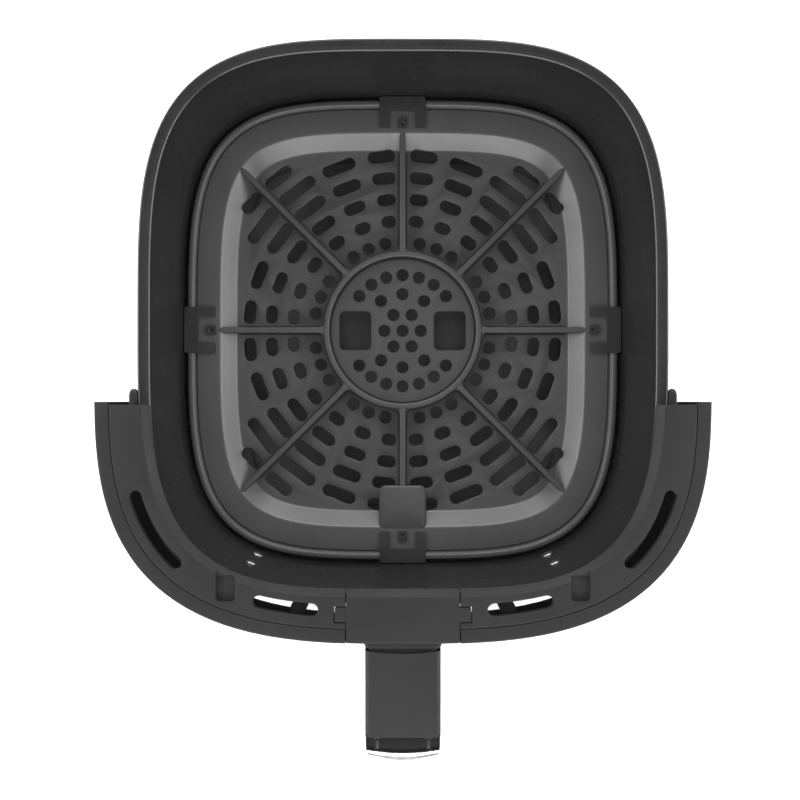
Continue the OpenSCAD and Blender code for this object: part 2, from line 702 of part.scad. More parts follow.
// Grip's front, from the top (90) to the bottom (-90), moved in by d; y runs forward along -y
function grip_at(a, d) =
    let (c = a >= 0 ? grip_outline : grip_low, p = moved(c, a, -d)) [grip_cy - p[0], grip_cz + p[1]];
function grip_line(a0, a1, d, n = 32) = [for (i = [0:n]) grip_at(mix(a0, a1, i / n), d)];
function back_line(a0, a1, d, n = 32) = [for (i = [n:-1:0]) grip_at(mix(a0, a1, i / n), d)];

module side_profile(x0, x1) {
    translate([x0, 0, 0]) rotate([90, 0, 90]) linear_extrude(x1 - x0) children();
}

module arm_outline(d) {
    foot_z = grip_cz - grip_down + cap_in;
    r = arm_corner + d;
    polygon(concat(
        [[arm_root, handle_top - d],
         [body_top_y + d, handle_top - d],
         [body_top_y + d, handle_top - cap_in - d]],
        grip_line(cap_from, cap_to, cap_in + d),
        [[back_y - grip_foot, foot_z + 1.6 * d],
         [back_y - d, foot_z + grip_foot + d]],
        [for (a = [0:18:90]) [back_y - d + r * (1 - cos(a)), arm_low + d - r * (1 - sin(a))]],
        [[arm_root, arm_low + d]]));
}

module handle_arm() {
    inside = handle_w - 2 * handle_t;
    color(moulding) difference() {
        side_profile(-handle_w / 2, handle_w / 2) arm_outline(0);
        side_profile(-inside / 2, inside / 2) arm_outline(handle_t);
        translate([-inside / 2, back_y - handle_t - fit, cover_z - fit])
            cube([inside, handle_t + fit + 2, cover_l]);
    }
}

module at_cover_screws() {
    for (z = [cover_z + 6, cover_z + cover_l - 7])
        translate([0, back_y, z]) rotate([90, 0, 0]) children();
}

module handle_back_cover() {
    color(moulding) difference() {
        translate([-handle_w / 2 + handle_t + fit, back_y - cover_t, cover_z])
            cube([handle_w - 2 * handle_t - 2 * fit, cover_t, cover_l - 2 * fit]);
        at_cover_screws() translate([0, 0, -1]) cylinder(d = screw_d + 2 * screw_gap, h = 8, $fn = 32);
    }
}

module cover_screws() {
    color(steel) at_cover_screws() translate([0, 0, -0.1]) screw(9, screw_d - 0.1, 5.6, 1.4);
}

module handle_end_cap() {
    w = handle_w - 3;
    color(moulding) difference() {
        side_profile(-w / 2, w / 2) polygon(concat(
            [[body_top_y - seat_gap, handle_top - cap_in + seat_gap],
             [body_top_y - seat_gap, handle_top - cap_step]],
            grip_line(86, cap_to, trim_t + seat_gap),
            back_line(cap_from, cap_to, cap_in - seat_gap)));
        at_clips() translate([0, 0, -1]) cylinder(d = clip_d, h = clip_l + 2, $fn = 32);
    }
}

module handle_trim() {
    w = handle_w - 1.6;
    color(chrome) side_profile(-w / 2, w / 2)
        polygon(concat(grip_line(trim_from, trim_to, 0), back_line(trim_from, trim_to, trim_t)));
}

module at_clips() {
    for (a = [40, -40])
        let (p = grip_at(a, trim_t), q = grip_at(a, cap_in), u = (q - p) / norm(q - p))
        translate([0, p[0], p[1]]) rotate([atan2(-u[0], u[1]), 0, 0]) children();
}

module trim_clips() {
    color(steel) at_clips() translate([0, 0, 0.2]) cylinder(d = clip_d - 0.1, h = clip_l, $fn = 32);
}

module handle_core() {
    color(steel) difference() {
        union() {
            translate([-core_w / 2, back_y - core_reach, core_z - core_t / 2])
                cube([core_w, arm_root - core_t - back_y + core_reach, core_t]);
            translate([-core_w / 2, back_y - core_reach - core_t, cover_z + core_reach])
                cube([core_w, core_t, core_z - cover_z - core_reach + core_t / 2]);
            translate([-core_foot_w / 2, arm_root - core_t - 0.2, core_z - core_t / 2])
                cube([core_foot_w, core_t, core_foot_h]);
        }
        bolt_holes(bolt_d, root_y, 16);
        at_cover_screws() cylinder(d = screw_d, h = 12, $fn = 32);
    }
}

module handle_bolts() {
    color(steel) for (x = [-bolt_x, bolt_x])
        translate([x, bolt_y + 1 + seat_gap, bolt_z]) rotate([90, 0, 0]) screw(18, bolt_d - 0.1, 9, 3.2);
}

module handle_washers() {
    color(steel) for (x = [-bolt_x, bolt_x])
        translate([x, bolt_y + 1, bolt_z]) rotate([90, 0, 0]) difference() {
            cylinder(d = 10, h = 1, $fn = 48);
            translate([0, 0, -1]) cylinder(d = bolt_d + 2 * screw_gap, h = 3, $fn = 32);
        }
}

pot_shell();
pot_bracket();
pot_rivets();
crisper_plate();
bumper_front();
bumper_rear();
bumper_left();
bumper_right();
collar_left();
collar_right();
rim_carrier_left();
rim_carrier_right();
carrier_screws();
front_shell();
collar_screws();
handle_bridge();
bridge_screws();
handle_arm();
handle_back_cover();
handle_end_cap();
handle_trim();
trim_clips();
handle_core();
handle_bolts();
handle_washers();
cover_screws();
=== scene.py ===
"""Drawer of an air fryer, dressed for close views: pot, crisper plate, collar, front and handle.

Sizes are in metres, with +Z up and +Y towards the back of the pot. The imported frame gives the
places, and each sub-assembly below is a class whose fields are its own sizes.
"""
import logging
import math
from dataclasses import dataclass, field
from enum import Enum
from typing import Any, Callable, Sequence

import bpy
import numpy as np
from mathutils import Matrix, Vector


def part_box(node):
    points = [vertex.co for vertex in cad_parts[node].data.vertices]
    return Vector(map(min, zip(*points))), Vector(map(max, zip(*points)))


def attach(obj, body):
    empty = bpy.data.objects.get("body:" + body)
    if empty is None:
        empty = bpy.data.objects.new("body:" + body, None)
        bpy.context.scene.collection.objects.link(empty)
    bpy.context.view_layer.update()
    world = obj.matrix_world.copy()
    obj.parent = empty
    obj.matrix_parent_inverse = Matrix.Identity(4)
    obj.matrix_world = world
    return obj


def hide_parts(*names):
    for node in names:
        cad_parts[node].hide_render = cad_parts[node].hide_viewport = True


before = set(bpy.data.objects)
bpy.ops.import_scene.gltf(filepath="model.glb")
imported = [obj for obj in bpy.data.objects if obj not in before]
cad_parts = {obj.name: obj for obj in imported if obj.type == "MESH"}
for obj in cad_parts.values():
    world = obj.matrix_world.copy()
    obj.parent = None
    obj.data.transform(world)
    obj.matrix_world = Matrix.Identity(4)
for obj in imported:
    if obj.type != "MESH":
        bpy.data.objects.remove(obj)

logging.basicConfig(level=logging.INFO, format="%(name)s: %(message)s")
LOG = logging.getLogger("drawer")

Array = np.ndarray
Tree = bpy.types.NodeTree
Socket = bpy.types.NodeSocket
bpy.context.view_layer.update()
TINY = 5e-5                   # smallest radius that a rounded corner keeps
CREASE = math.radians(32)     # angle past which an edge stays sharp
QUARTER = math.pi / 2
COAT_IOR = 1.5                # refractive index of coats and plastics


class Side(Enum):
    """Left or right half of the drawer, as the sign of X."""

    LEFT = -1
    RIGHT = 1

    def turn(self, shape: "Shape") -> "Shape":
        """A left-hand shape as it stands on this side."""
        return shape if self is Side.LEFT else shape.mirrored()


class Edge(Enum):
    """Edge of the crisper plate, as the quarter turns from the front."""

    FRONT = 0
    RIGHT = 1
    REAR = 2
    LEFT = 3


# ---- Curves and profiles ----


def signed_power(value: Array, power: float) -> Array:
    """Power of the size of a value, with the value's own sign."""
    return np.sign(value) * np.abs(value) ** power


def turned(points: Array, angle: float) -> Array:
    """Points turned about the Z axis.

    Args:
        points: array of (..., 2) or (..., 3) places.
        angle: turn in radians, anticlockwise seen from above.

    Returns:
        A turned copy of the points.
    """
    c, s = math.cos(angle), math.sin(angle)
    out = np.array(points, float)
    x, y = out[..., 0].copy(), out[..., 1].copy()
    out[..., 0] = c * x - s * y
    out[..., 1] = s * x + c * y
    return out


@dataclass(frozen=True)
class Outline:
    """Superellipse seen from above: |x/a|^n + |(y - cy)/b|^n = 1."""

    a: float
    b: float
    n: float
    cy: float = 0.0

    def at(self, angle: Array) -> Array:
        """Points at polar angles: the ray from the centre is cut where the two powers add up to one."""
        c, s = np.cos(angle), np.sin(angle)
        reach = (np.abs(c / self.a) ** self.n + np.abs(s / self.b) ** self.n) ** (-1 / self.n)
        return np.stack([reach * c, self.cy + reach * s], axis=-1)

    def normal(self, angle: Array) -> Array:
        """Outward unit normals: the slope of |x/a|^n + |y/b|^n, made one long."""
        p = self.at(angle)
        g = np.stack([signed_power(p[..., 0] / self.a, self.n - 1) / self.a,
                      signed_power((p[..., 1] - self.cy) / self.b, self.n - 1) / self.b], axis=-1)
        return g / np.linalg.norm(g, axis=-1, keepdims=True)

    def moved(self, angle: Array, offset: Array) -> Array:
        """Points moved out along the normal by an offset."""
        return self.at(angle) + np.asarray(offset)[..., None] * self.normal(angle)

    def at_x(self, x: float) -> float:
        """Polar angle on the left front where the outline is x from the centre plane."""
        y = self.b * (1 - abs(x / self.a) ** self.n) ** (1 / self.n)
        return math.atan2(-y, -abs(x)) % math.tau

    def at_y(self, y: float) -> float:
        """Polar angle on the left front where the outline passes a given y."""
        x = self.a * (1 - abs((y - self.cy) / self.b) ** self.n) ** (1 / self.n)
        return math.atan2(y - self.cy, -x) % math.tau

    def from_parameter(self, degrees: float) -> float:
        """Polar angle of the point a cos^(2/n), b sin^(2/n) of a parameter in degrees."""
        t = math.radians(degrees)
        return math.atan2(self.b * float(signed_power(np.sin(t), 2 / self.n)),
                          self.a * float(signed_power(np.cos(t), 2 / self.n))) % math.tau

    def even(self, start: float, end: float, count: int) -> Array:
        """Polar angles of points that lie at equal distances along the outline.

        Args:
            start: first polar angle.
            end: last polar angle.
            count: number of points, both ends included.

        Returns:
            The angles, read from the running length of a fine chain of points.
        """
        fine = np.linspace(start, end, 4001)
        step = np.linalg.norm(np.diff(self.at(fine), axis=0), axis=1)
        run = np.concatenate([[0], np.cumsum(step)])
        return np.interp(np.linspace(0, run[-1], count), run, fine)

    def ring(self, count: int) -> Array:
        """Polar angles evenly spaced once round, without the repeated last one."""
        return self.even(0, math.tau, count + 1)[:-1]


def inset(corners: Array, depth: float, still: Sequence[int] = ()) -> Array:
    """Polygon moved in by a depth: each corner goes to where its two moved edges meet.

    Args:
        corners: (m, 3) rows of x, y and corner radius, anticlockwise.
        depth: how far each edge moves in.
        still: edges that don't move, each named by its first corner.

    Returns:
        The moved corners, with radii made smaller by the depth.
    """
    p = corners[:, :2]
    along_edge = np.roll(p, -1, 0) - p
    along_edge = along_edge / np.linalg.norm(along_edge, axis=1, keepdims=True)
    after = np.stack([along_edge[:, 1], -along_edge[:, 0]], axis=1)
    before = np.roll(after, 1, 0)
    d_after = np.full(len(p), float(depth))
    d_after[list(still)] = 0.0
    d_before = np.roll(d_after, 1)
    c = np.sum(before * after, axis=1)
    straight = 1 - c ** 2 < 0.002
    det = np.where(straight, 1.0, 1 - c ** 2)
    from_before, from_after = (d_before - c * d_after) / det, (d_after - c * d_before) / det
    met = from_before[:, None] * before + from_after[:, None] * after
    level = (0.5 * (d_before + d_after))[:, None] * after
    shift = np.where(straight[:, None], level, met)
    return np.column_stack([p - shift, np.maximum(corners[:, 2] - depth, TINY)])


def rounded(corners: Sequence[Sequence[float]], steps: int = 4, closed: bool = True) -> Array:
    """Polygon whose corners are arcs tangent to both their edges.

    Each arc runs between the two tangent points about a centre on the corner's bisector, and no
    arc takes more than half of an edge.

    Args:
        corners: rows of x, y and radius.
        steps: edges in each arc.
        closed: whether the last corner joins the first; if not, the two ends stay points.

    Returns:
        (k, 2) points.
    """
    c = np.asarray(corners, float)
    p, r = c[:, :2], np.maximum(c[:, 2], TINY)
    back, ahead = np.roll(p, 1, 0) - p, np.roll(p, -1, 0) - p
    len_back = np.linalg.norm(back, axis=1)
    len_ahead = np.linalg.norm(ahead, axis=1)
    u, v = back / len_back[:, None], ahead / len_ahead[:, None]
    half = 0.5 * np.arccos(np.clip(np.sum(u * v, axis=1), -1, 1))
    half = np.minimum(half, QUARTER - 1e-4)
    tangent = np.minimum(r / np.tan(half), 0.49 * np.minimum(len_back, len_ahead))
    r = tangent * np.tan(half)
    a, b = p + u * tangent[:, None], p + v * tangent[:, None]
    bisector = u + v
    bisector = bisector / np.maximum(np.linalg.norm(bisector, axis=1, keepdims=True), 1e-12)
    centre = p + bisector * (r / np.sin(half))[:, None]
    turn = (math.pi - 2 * half)[:, None, None]
    s = np.linspace(0, 1, steps + 1)[None, :, None]
    arcs = centre[:, None] + (np.sin((1 - s) * turn) * (a - centre)[:, None]
                              + np.sin(s * turn) * (b - centre)[:, None]) / np.sin(turn)
    if closed:
        return arcs.reshape(-1, 2)
    return np.vstack([p[:1], arcs[1:-1].reshape(-1, 2), p[-1:]])


# ---- Shapes ----


@dataclass
class Shape:
    """Closed mesh as whole arrays: points, and faces of four or more corners."""

    points: Array
    quads: Array
    caps: list[list[int]] = field(default_factory=list)

    @classmethod
    def tube(cls, rows: Array, closed: bool = False) -> "Shape":
        """Skin over k sections of m points each: a grid on the two indices, wrapped round each section.

        Args:
            rows: (k, m, 3) points.
            closed: whether the last section joins the first; if not, both ends get a flat cap.

        Returns:
            A shape whose faces look outwards.
        """
        k, m = rows.shape[:2]
        i = np.arange(k if closed else k - 1)[:, None]
        j = np.arange(m)[None, :]
        ahead, beside = (i + 1) % k, (j + 1) % m
        quads = np.stack([i * m + j, i * m + beside, ahead * m + beside, ahead * m + j], axis=-1)
        quads = quads.reshape(-1, 4)
        caps = [] if closed else [list(range(m - 1, -1, -1)), list(range((k - 1) * m, k * m))]
        shape = cls(rows.reshape(-1, 3).astype(float), quads, caps)
        return shape if shape.volume() > 0 else shape.turned_out()

    @classmethod
    def slab(cls, loop: Array, low: float, high: float) -> "Shape":
        """Upright solid over a flat loop, between two heights."""
        return cls.tube(sections([loop, loop], [low, high], 2))

    @classmethod
    def hoop(cls, section: Array, count: int) -> "Shape":
        """Section of (radius, z) points turned once about the Z axis."""
        t = np.arange(count) * math.tau / count
        flat = section[None, :, :1] * np.stack([np.cos(t), np.sin(t)], axis=1)[:, None]
        z = np.broadcast_to(section[None, :, 1:], (count, len(section), 1))
        return cls.tube(np.concatenate([flat, z], axis=2), closed=True)

    def volume(self) -> float:
        """Enclosed volume: the sum over triangles of the corner's triple product, over six."""
        tris = [self.quads[:, [0, 1, 2]], self.quads[:, [0, 2, 3]]]
        for cap in self.caps:
            c = np.array(cap)
            tris.append(np.stack([np.full(len(c) - 2, c[0]), c[1:-1], c[2:]], axis=1))
        a, b, c = (self.points[np.vstack(tris)[:, q]] for q in range(3))
        return float(np.sum(np.cross(a, b) * c) / 6)

    def turned_out(self) -> "Shape":
        """The same shape with every face reversed."""
        return Shape(self.points, self.quads[:, ::-1], [cap[::-1] for cap in self.caps])

    def at(self, change: Callable[[Array], Array]) -> "Shape":
        """Shape with its points changed by a function, faces still outwards."""
        shape = Shape(change(self.points.copy()), self.quads, self.caps)
        return shape if shape.volume() > 0 else shape.turned_out()

    def mirrored(self) -> "Shape":
        """Mirror image across the centre plane."""
        return self.at(lambda p: p * np.array([-1.0, 1.0, 1.0]))

    @staticmethod
    def joined(shapes: Sequence["Shape"]) -> "Shape":
        """Several shapes in one mesh, each still closed."""
        start = np.cumsum([0] + [len(s.points) for s in shapes[:-1]])
        quads = np.vstack([s.quads + o for s, o in zip(shapes, start)])
        caps = [[int(o) + i for i in cap] for s, o in zip(shapes, start) for cap in s.caps]
        return Shape(np.vstack([s.points for s in shapes]), quads, caps)

    def mesh(self, name: str) -> bpy.types.Mesh:
        """Blender mesh of this shape."""
        mesh = bpy.data.meshes.new(name)
        mesh.from_pydata(self.points.tolist(), [], self.quads.tolist() + self.caps)
        mesh.validate()
        mesh.update()
        return mesh


def sections(loops: Sequence[Array], places: Sequence[Any], axis: int) -> Array:
    """Flat loops set in space: each one's third coordinate is its place along the axis, 0 to 2."""
    return np.stack([np.insert(loop, axis, place, axis=1) for loop, place in zip(loops, places)])


def lathe(profile: Array, centre: Sequence[float], sides: int = 48,
          axis: Sequence[float] = (0, 0, 1)) -> Shape:
    """Profile of (radius, height) turned about an axis: the ends on the axis close to a flat disc.

    Args:
        profile: (k, 2) rows of radius and height along the axis.
        centre: point on the axis at height nought.
        sides: points in each ring.
        axis: direction of the axis.

    Returns:
        The turned solid.
    """
    w = np.asarray(axis, float) / np.linalg.norm(axis)
    u = np.cross([0, 0, 1] if abs(w[2]) < 0.9 else [0, 1, 0], w)
    u = u / np.linalg.norm(u)
    v = np.cross(w, u)
    t = np.arange(sides) * math.tau / sides
    ring = np.cos(t)[:, None] * u + np.sin(t)[:, None] * v
    prof = np.asarray(profile, float)
    rows = np.asarray(centre, float) + prof[:, 0, None, None] * ring + prof[:, 1, None, None] * w
    return Shape.tube(rows)


def ring_loop(outline: Outline, section: Array, count: int) -> Array:
    """Sections of (offset, z) rows carried once round an outline, each row a whole ring.

    Args:
        outline: curve seen from above.
        section: (k, 2) offsets from the curve and heights.
        count: points round the curve.

    Returns:
        (k, count, 3) rings.
    """
    t = outline.ring(count)
    flat = outline.at(t)[None] + section[:, 0, None, None] * outline.normal(t)[None]
    z = np.broadcast_to(section[:, 1, None, None], (*flat.shape[:2], 1))
    return np.concatenate([flat, z], axis=2)


def along(outline: Outline, section: Array, angles: Array) -> Array:
    """Sections of (offset, z) rows carried along a stretch of an outline: (angles, section, 3) points."""
    flat = outline.at(angles)[:, None] + section[None, :, 0, None] * outline.normal(angles)[:, None]
    z = np.broadcast_to(section[None, :, 1, None], (*flat.shape[:2], 1))
    return np.concatenate([flat, z], axis=2)


def arc_between(centre: Array, radius: float, start: Array, end: Array, steps: int) -> Array:
    """Arc about a centre from one unit direction to another, by the shorter way."""
    turn = math.acos(float(start @ end))
    s = np.linspace(0, 1, steps)[:, None]
    return centre + radius * (np.sin((1 - s) * turn) * start + np.sin(s * turn) * end) / math.sin(turn)


def stadium(path: Array, half: float, arc: int = 8) -> Array:
    """Loop at a distance round an open path: one side, a half circle, the other side, a half circle.

    Args:
        path: (k, 2) points.
        half: half of the width.
        arc: edges in each half circle.

    Returns:
        Closed loop of points.
    """
    tangent = np.gradient(path, axis=0)
    tangent = tangent / np.linalg.norm(tangent, axis=1, keepdims=True)
    side = np.stack([-tangent[:, 1], tangent[:, 0]], axis=1)
    s = np.linspace(0, math.pi, arc + 1)[1:-1, None]
    end = path[-1] + half * (np.cos(s) * -side[-1] + np.sin(s) * tangent[-1])
    start = path[0] + half * (np.cos(s) * side[0] - np.sin(s) * tangent[0])
    return np.vstack([path - half * side, end, (path + half * side)[::-1], start])


def disc(centre: Sequence[float], radius: float, sides: int = 28) -> Array:
    """Flat circle of points."""
    t = np.arange(sides) * math.tau / sides
    return np.asarray(centre) + radius * np.stack([np.cos(t), np.sin(t)], axis=1)


def box_loop(centre: Sequence[float], size: Sequence[float], radius: float, steps: int = 5) -> Array:
    """Flat rectangle with rounded corners, about a centre."""
    x, y = size[0] / 2, size[1] / 2
    loop = rounded([(-x, -y, radius), (x, -y, radius), (x, y, radius), (-x, y, radius)], steps)
    return loop + np.asarray(centre)


def well(loop_at: Callable[[float], Array], low: float, top: float, lip: float) -> Shape:
    """Cutter with a rounded mouth: upright below, then out along a quarter circle to the surface.

    Args:
        loop_at: gives the flat loop, grown by a distance.
        low: height of its lower end.
        top: height of the surface that it opens in.
        lip: radius of the rounded mouth.

    Returns:
        The cutter, which reaches well above the surface.
    """
    turn = np.linspace(0, QUARTER, 4)
    grow = np.concatenate([[0], lip * (1 - np.cos(turn)), [lip]])
    z = np.concatenate([[low], top - lip + lip * np.sin(turn), [top + 0.004]])
    return Shape.tube(sections([loop_at(g) for g in grow], z, 2))


def eased_block(centre: Sequence[float], size: Sequence[float], heights: Sequence[float], radius: float,
                ease: float, follow: float = 0.0) -> Shape:
    """Upright block with rounded corners, whose top edge is a quarter circle.

    Args:
        centre: middle, seen from above.
        size: lengths along X and Y.
        heights: its bottom and its top.
        radius: radius of the upright corners.
        ease: radius of the top edge.
        follow: share of the top edge's inset by which the corners' radius shrinks.

    Returns:
        The block.
    """
    turn = np.linspace(0, QUARTER, 4)
    depths = np.concatenate([[0], ease * (1 - np.cos(turn))])
    z = np.concatenate([[heights[0]], heights[1] - ease + ease * np.sin(turn)])
    loops = [box_loop(centre, np.array(size) - 2 * d, radius - follow * d) for d in depths]
    return Shape.tube(sections(loops, z, 2))


def across(corners: Array, xs: Array, depths: Array, steps: int = 4, still: Sequence[int] = ()) -> Shape:
    """Side profile carried across the width: at each x the profile is inset by its own depth.

    Args:
        corners: (m, 3) rows of y, z and corner radius, anticlockwise seen along -X.
        xs: places across the width.
        depths: inset of the profile at each place.
        steps: edges in each rounded corner.
        still: edges of the profile that stay where they are.

    Returns:
        The closed solid.
    """
    loops = [rounded(inset(corners, d, still), steps) for d in depths]
    return Shape.tube(sections(loops, xs, 0))


def soft_width(half: float, radius: float, crown: float = 0.0, steps: int = 5) -> tuple[Array, Array]:
    """Places and insets of a width with rounded edges: a quarter circle at each end, and a slight crown.

    Args:
        half: half of the width.
        radius: radius of the two long edges.
        crown: how far the surface falls from the middle to the edge.
        steps: edges in each quarter circle.

    Returns:
        The places across the width, and the inset at each.
    """
    turn = np.linspace(0, QUARTER, steps + 1)
    right = half - radius + radius * np.sin(turn)
    depth = radius * (1 - np.cos(turn))
    inner = np.linspace(0, half - radius, 7)[1:-1]
    x = np.concatenate([-right[::-1], -inner[::-1], [0], inner, right])
    d = np.concatenate([depth[::-1], np.zeros(2 * len(inner) + 1), depth])
    return x, d + crown * (x / half) ** 2


# ---- Pieces ----


def link(name: str, mesh: bpy.types.Mesh) -> bpy.types.Object:
    """Object of a mesh, in the scene."""
    obj = bpy.data.objects.new(name, mesh)
    bpy.context.scene.collection.objects.link(obj)
    return obj


def applied(obj: bpy.types.Object) -> None:
    """Turns an object's modifiers into its mesh."""
    graph = bpy.context.evaluated_depsgraph_get()
    mesh = bpy.data.meshes.new_from_object(obj.evaluated_get(graph))
    obj.modifiers.clear()
    old, obj.data = obj.data, mesh
    bpy.data.meshes.remove(old)


def combine(obj: bpy.types.Object, other: Shape, operation: str) -> None:
    """Adds or cuts away a solid.

    Args:
        obj: object that changes.
        other: closed shape to add or cut.
        operation: UNION or DIFFERENCE.
    """
    tool = link("tool", other.mesh("tool"))
    modifier = obj.modifiers.new("combine", "BOOLEAN")
    modifier.operation = operation
    modifier.object = tool
    modifier.solver = "MANIFOLD"
    before = len(obj.data.polygons)
    applied(obj)
    if len(obj.data.polygons) in (0, before):
        LOG.warning("%s: %s changed nothing", obj.name, operation)
    bpy.data.objects.remove(tool)


def piece(name: str, shape: Shape, body: str, slot: str, replaced: Sequence[str] = (),
          add: Sequence[Shape] = (), cut: Sequence[Shape] = (), bevel: float = 0.0,
          crease: float = CREASE) -> bpy.types.Object:
    """Finished object of the model: solids added and cut, edges eased, and its place in the frame.

    Args:
        name: name of the object.
        shape: its main solid.
        body: CAD body that it rides on.
        slot: material slot of the record.
        replaced: CAD nodes that it stands for.
        add: solids joined to it.
        cut: solids cut away.
        bevel: width of the eased edges, or nought.
        crease: angle past which an edge stays sharp.

    Returns:
        The object, dressed in its slot's material.
    """
    obj = link(name, shape.mesh(name))
    for extra in add:
        combine(obj, extra, "UNION")
    for tool in cut:
        combine(obj, tool, "DIFFERENCE")
    if bevel:
        modifier = obj.modifiers.new("eased", "BEVEL")
        modifier.width = bevel
        modifier.segments = 2
        modifier.limit_method = "ANGLE"
        modifier.angle_limit = math.radians(40)
        modifier.use_clamp_overlap = True
        applied(obj)
    mesh = obj.data
    mesh.name = name
    mesh.polygons.foreach_set("use_smooth", np.ones(len(mesh.polygons), bool))
    mesh.set_sharp_from_angle(angle=crease)
    mesh.materials.clear()
    mesh.materials.append(FINISHES[slot].material())
    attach(obj, body)
    if replaced:
        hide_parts(*replaced)
    LOG.info("%s: %d faces", name, len(mesh.polygons))
    return obj


def repaint(mesh: bpy.types.Mesh, finish: "Finish", chosen: Callable[[Array, Array], Array]) -> None:
    """Gives some faces of a mesh a second finish.

    Args:
        mesh: mesh that changes.
        finish: their finish.
        chosen: tells from the face centres and normals which faces they are.
    """
    values = {}
    for name in ("center", "normal"):
        values[name] = np.empty(3 * len(mesh.polygons))
        mesh.polygons.foreach_get(name, values[name])
    mask = chosen(values["center"].reshape(-1, 3), values["normal"].reshape(-1, 3))
    index = np.empty(len(mesh.polygons), np.int32)
    mesh.polygons.foreach_get("material_index", index)
    index[mask] = len(mesh.materials)
    mesh.materials.append(finish.material())
    mesh.polygons.foreach_set("material_index", index)


# ---- Finishes ----


def linear(colour: str) -> tuple[float, float, float, float]:
    """Linear colour of an sRGB hex value such as #3a3a3a."""
    parts = np.array([int(colour[i:i + 2], 16) for i in (1, 3, 5)]) / 255
    lin = np.where(parts <= 0.04045, parts / 12.92, ((parts + 0.055) / 1.055) ** 2.4)
    return (*lin.tolist(), 1.0)


def per_metre(millimetres: float) -> float:
    """Texture scale at which a pattern repeats about every so many millimetres."""
    return 1000 / millimetres


def add_node(tree: Tree, kind: str, inputs: dict[Any, Any], **settings: Any) -> bpy.types.Node:
    """Adds a node with its settings, values and links.

    Args:
        tree: node tree.
        kind: node type.
        inputs: value or output socket for each input, by name or number.
        **settings: properties of the node.

    Returns:
        The node.
    """
    node = tree.nodes.new(kind)
    for key, value in settings.items():
        setattr(node, key, value)
    for key, value in inputs.items():
        if isinstance(value, Socket):
            tree.links.new(value, node.inputs[key])
        else:
            node.inputs[key].default_value = value
    return node


def noise(tree: Tree, place: Socket, size: float, detail: float = 2.0, **more: float) -> Socket:
    """Noise whose patches have a size in mm."""
    inputs = {"Vector": place, "Scale": per_metre(size), "Detail": detail, **more}
    return add_node(tree, "ShaderNodeTexNoise", inputs).outputs[0]


def spread(tree: Tree, value: Socket, source: tuple[float, float], target: tuple[float, float] = (0.0, 1.0),
           kind: str = "LINEAR") -> Socket:
    """Value taken from one range to another, and held at its ends."""
    inputs = {"Value": value, "From Min": source[0], "From Max": source[1], "To Min": target[0],
              "To Max": target[1]}
    return add_node(tree, "ShaderNodeMapRange", inputs, interpolation_type=kind).outputs[0]


def mixed(tree: Tree, share: Socket, first: Any, second: Any) -> Socket:
    """Mixture of two colours by a share."""
    return add_node(tree, "ShaderNodeMix", {0: share, 6: first, 7: second}, data_type="RGBA").outputs[2]


def relief(tree: Tree, height: Socket, depth: float, strength: float) -> Socket:
    """Normal of a surface with fine relief of a depth in metres."""
    inputs = {"Height": height, "Distance": depth, "Strength": strength}
    return add_node(tree, "ShaderNodeBump", inputs).outputs[0]


@dataclass(frozen=True)
class Finish:
    """What every finish has: a name, a colour, and a way to become a material."""

    name: str
    colour: str
    deep: str
    rough: float

    def material(self) -> bpy.types.Material:
        """The material, made once."""
        known = bpy.data.materials.get(self.name)
        if known:
            return known
        mat = bpy.data.materials.new(self.name)
        mat.use_nodes = True
        mat.diffuse_color = linear(self.colour)
        tree = mat.node_tree
        tree.nodes.clear()
        place = add_node(tree, "ShaderNodeTexCoord", {}).outputs["Object"]
        shader = add_node(tree, "ShaderNodeBsdfPrincipled", self.surface(tree, place))
        add_node(tree, "ShaderNodeOutputMaterial", {"Surface": shader.outputs[0]})
        return mat

    def surface(self, tree: Tree, place: Socket) -> dict[str, Any]:
        """Inputs of the shader, by name."""
        raise NotImplementedError

    def tone(self, tree: Tree, place: Socket, size: float, low: float = 0.35, high: float = 0.65,
             detail: float = 3.0) -> Socket:
        """Colour that wanders between the deep and the full one over patches of a size in mm."""
        share = spread(tree, noise(tree, place, size, detail), (low, high))
        return mixed(tree, share, linear(self.deep), linear(self.colour))

    def gloss(self, tree: Tree, place: Socket, size: float, swing: float) -> Socket:
        """Roughness that wanders by a swing about its middle over patches of a size in mm."""
        around = (self.rough - swing, self.rough + swing)
        return spread(tree, noise(tree, place, size, 4.0), (0.3, 0.7), around)


@dataclass(frozen=True)
class SprayedNonstick(Finish):
    """Sprayed and baked non-stick coat over metal: dark, satin, with the fine orange peel and pale flecks
    of its filler, so edges and slopes shine softly."""

    fleck: float = 0.45
    peel: float = 0.9
    depth: float = 0.00002
    fleck_share: float = 0.16

    def surface(self, tree: Tree, place: Socket) -> dict[str, Any]:
        """Patchy dark base with flecks, wandering gloss, and peel with grain as bump."""
        cells = add_node(tree, "ShaderNodeTexVoronoi", {"Vector": place, "Scale": per_metre(self.fleck)})
        flecks = spread(tree, cells.outputs["Distance"], (0.08, 0.3), (self.fleck_share, 0.0))
        base = mixed(tree, flecks, self.tone(tree, place, 38.0), linear("#8a8a8a"))
        skin = relief(tree, noise(tree, place, self.peel), self.depth, 0.6)
        return {"Base Color": base, "Roughness": self.gloss(tree, place, 24.0, 0.04), "Normal": skin,
                "IOR": COAT_IOR}


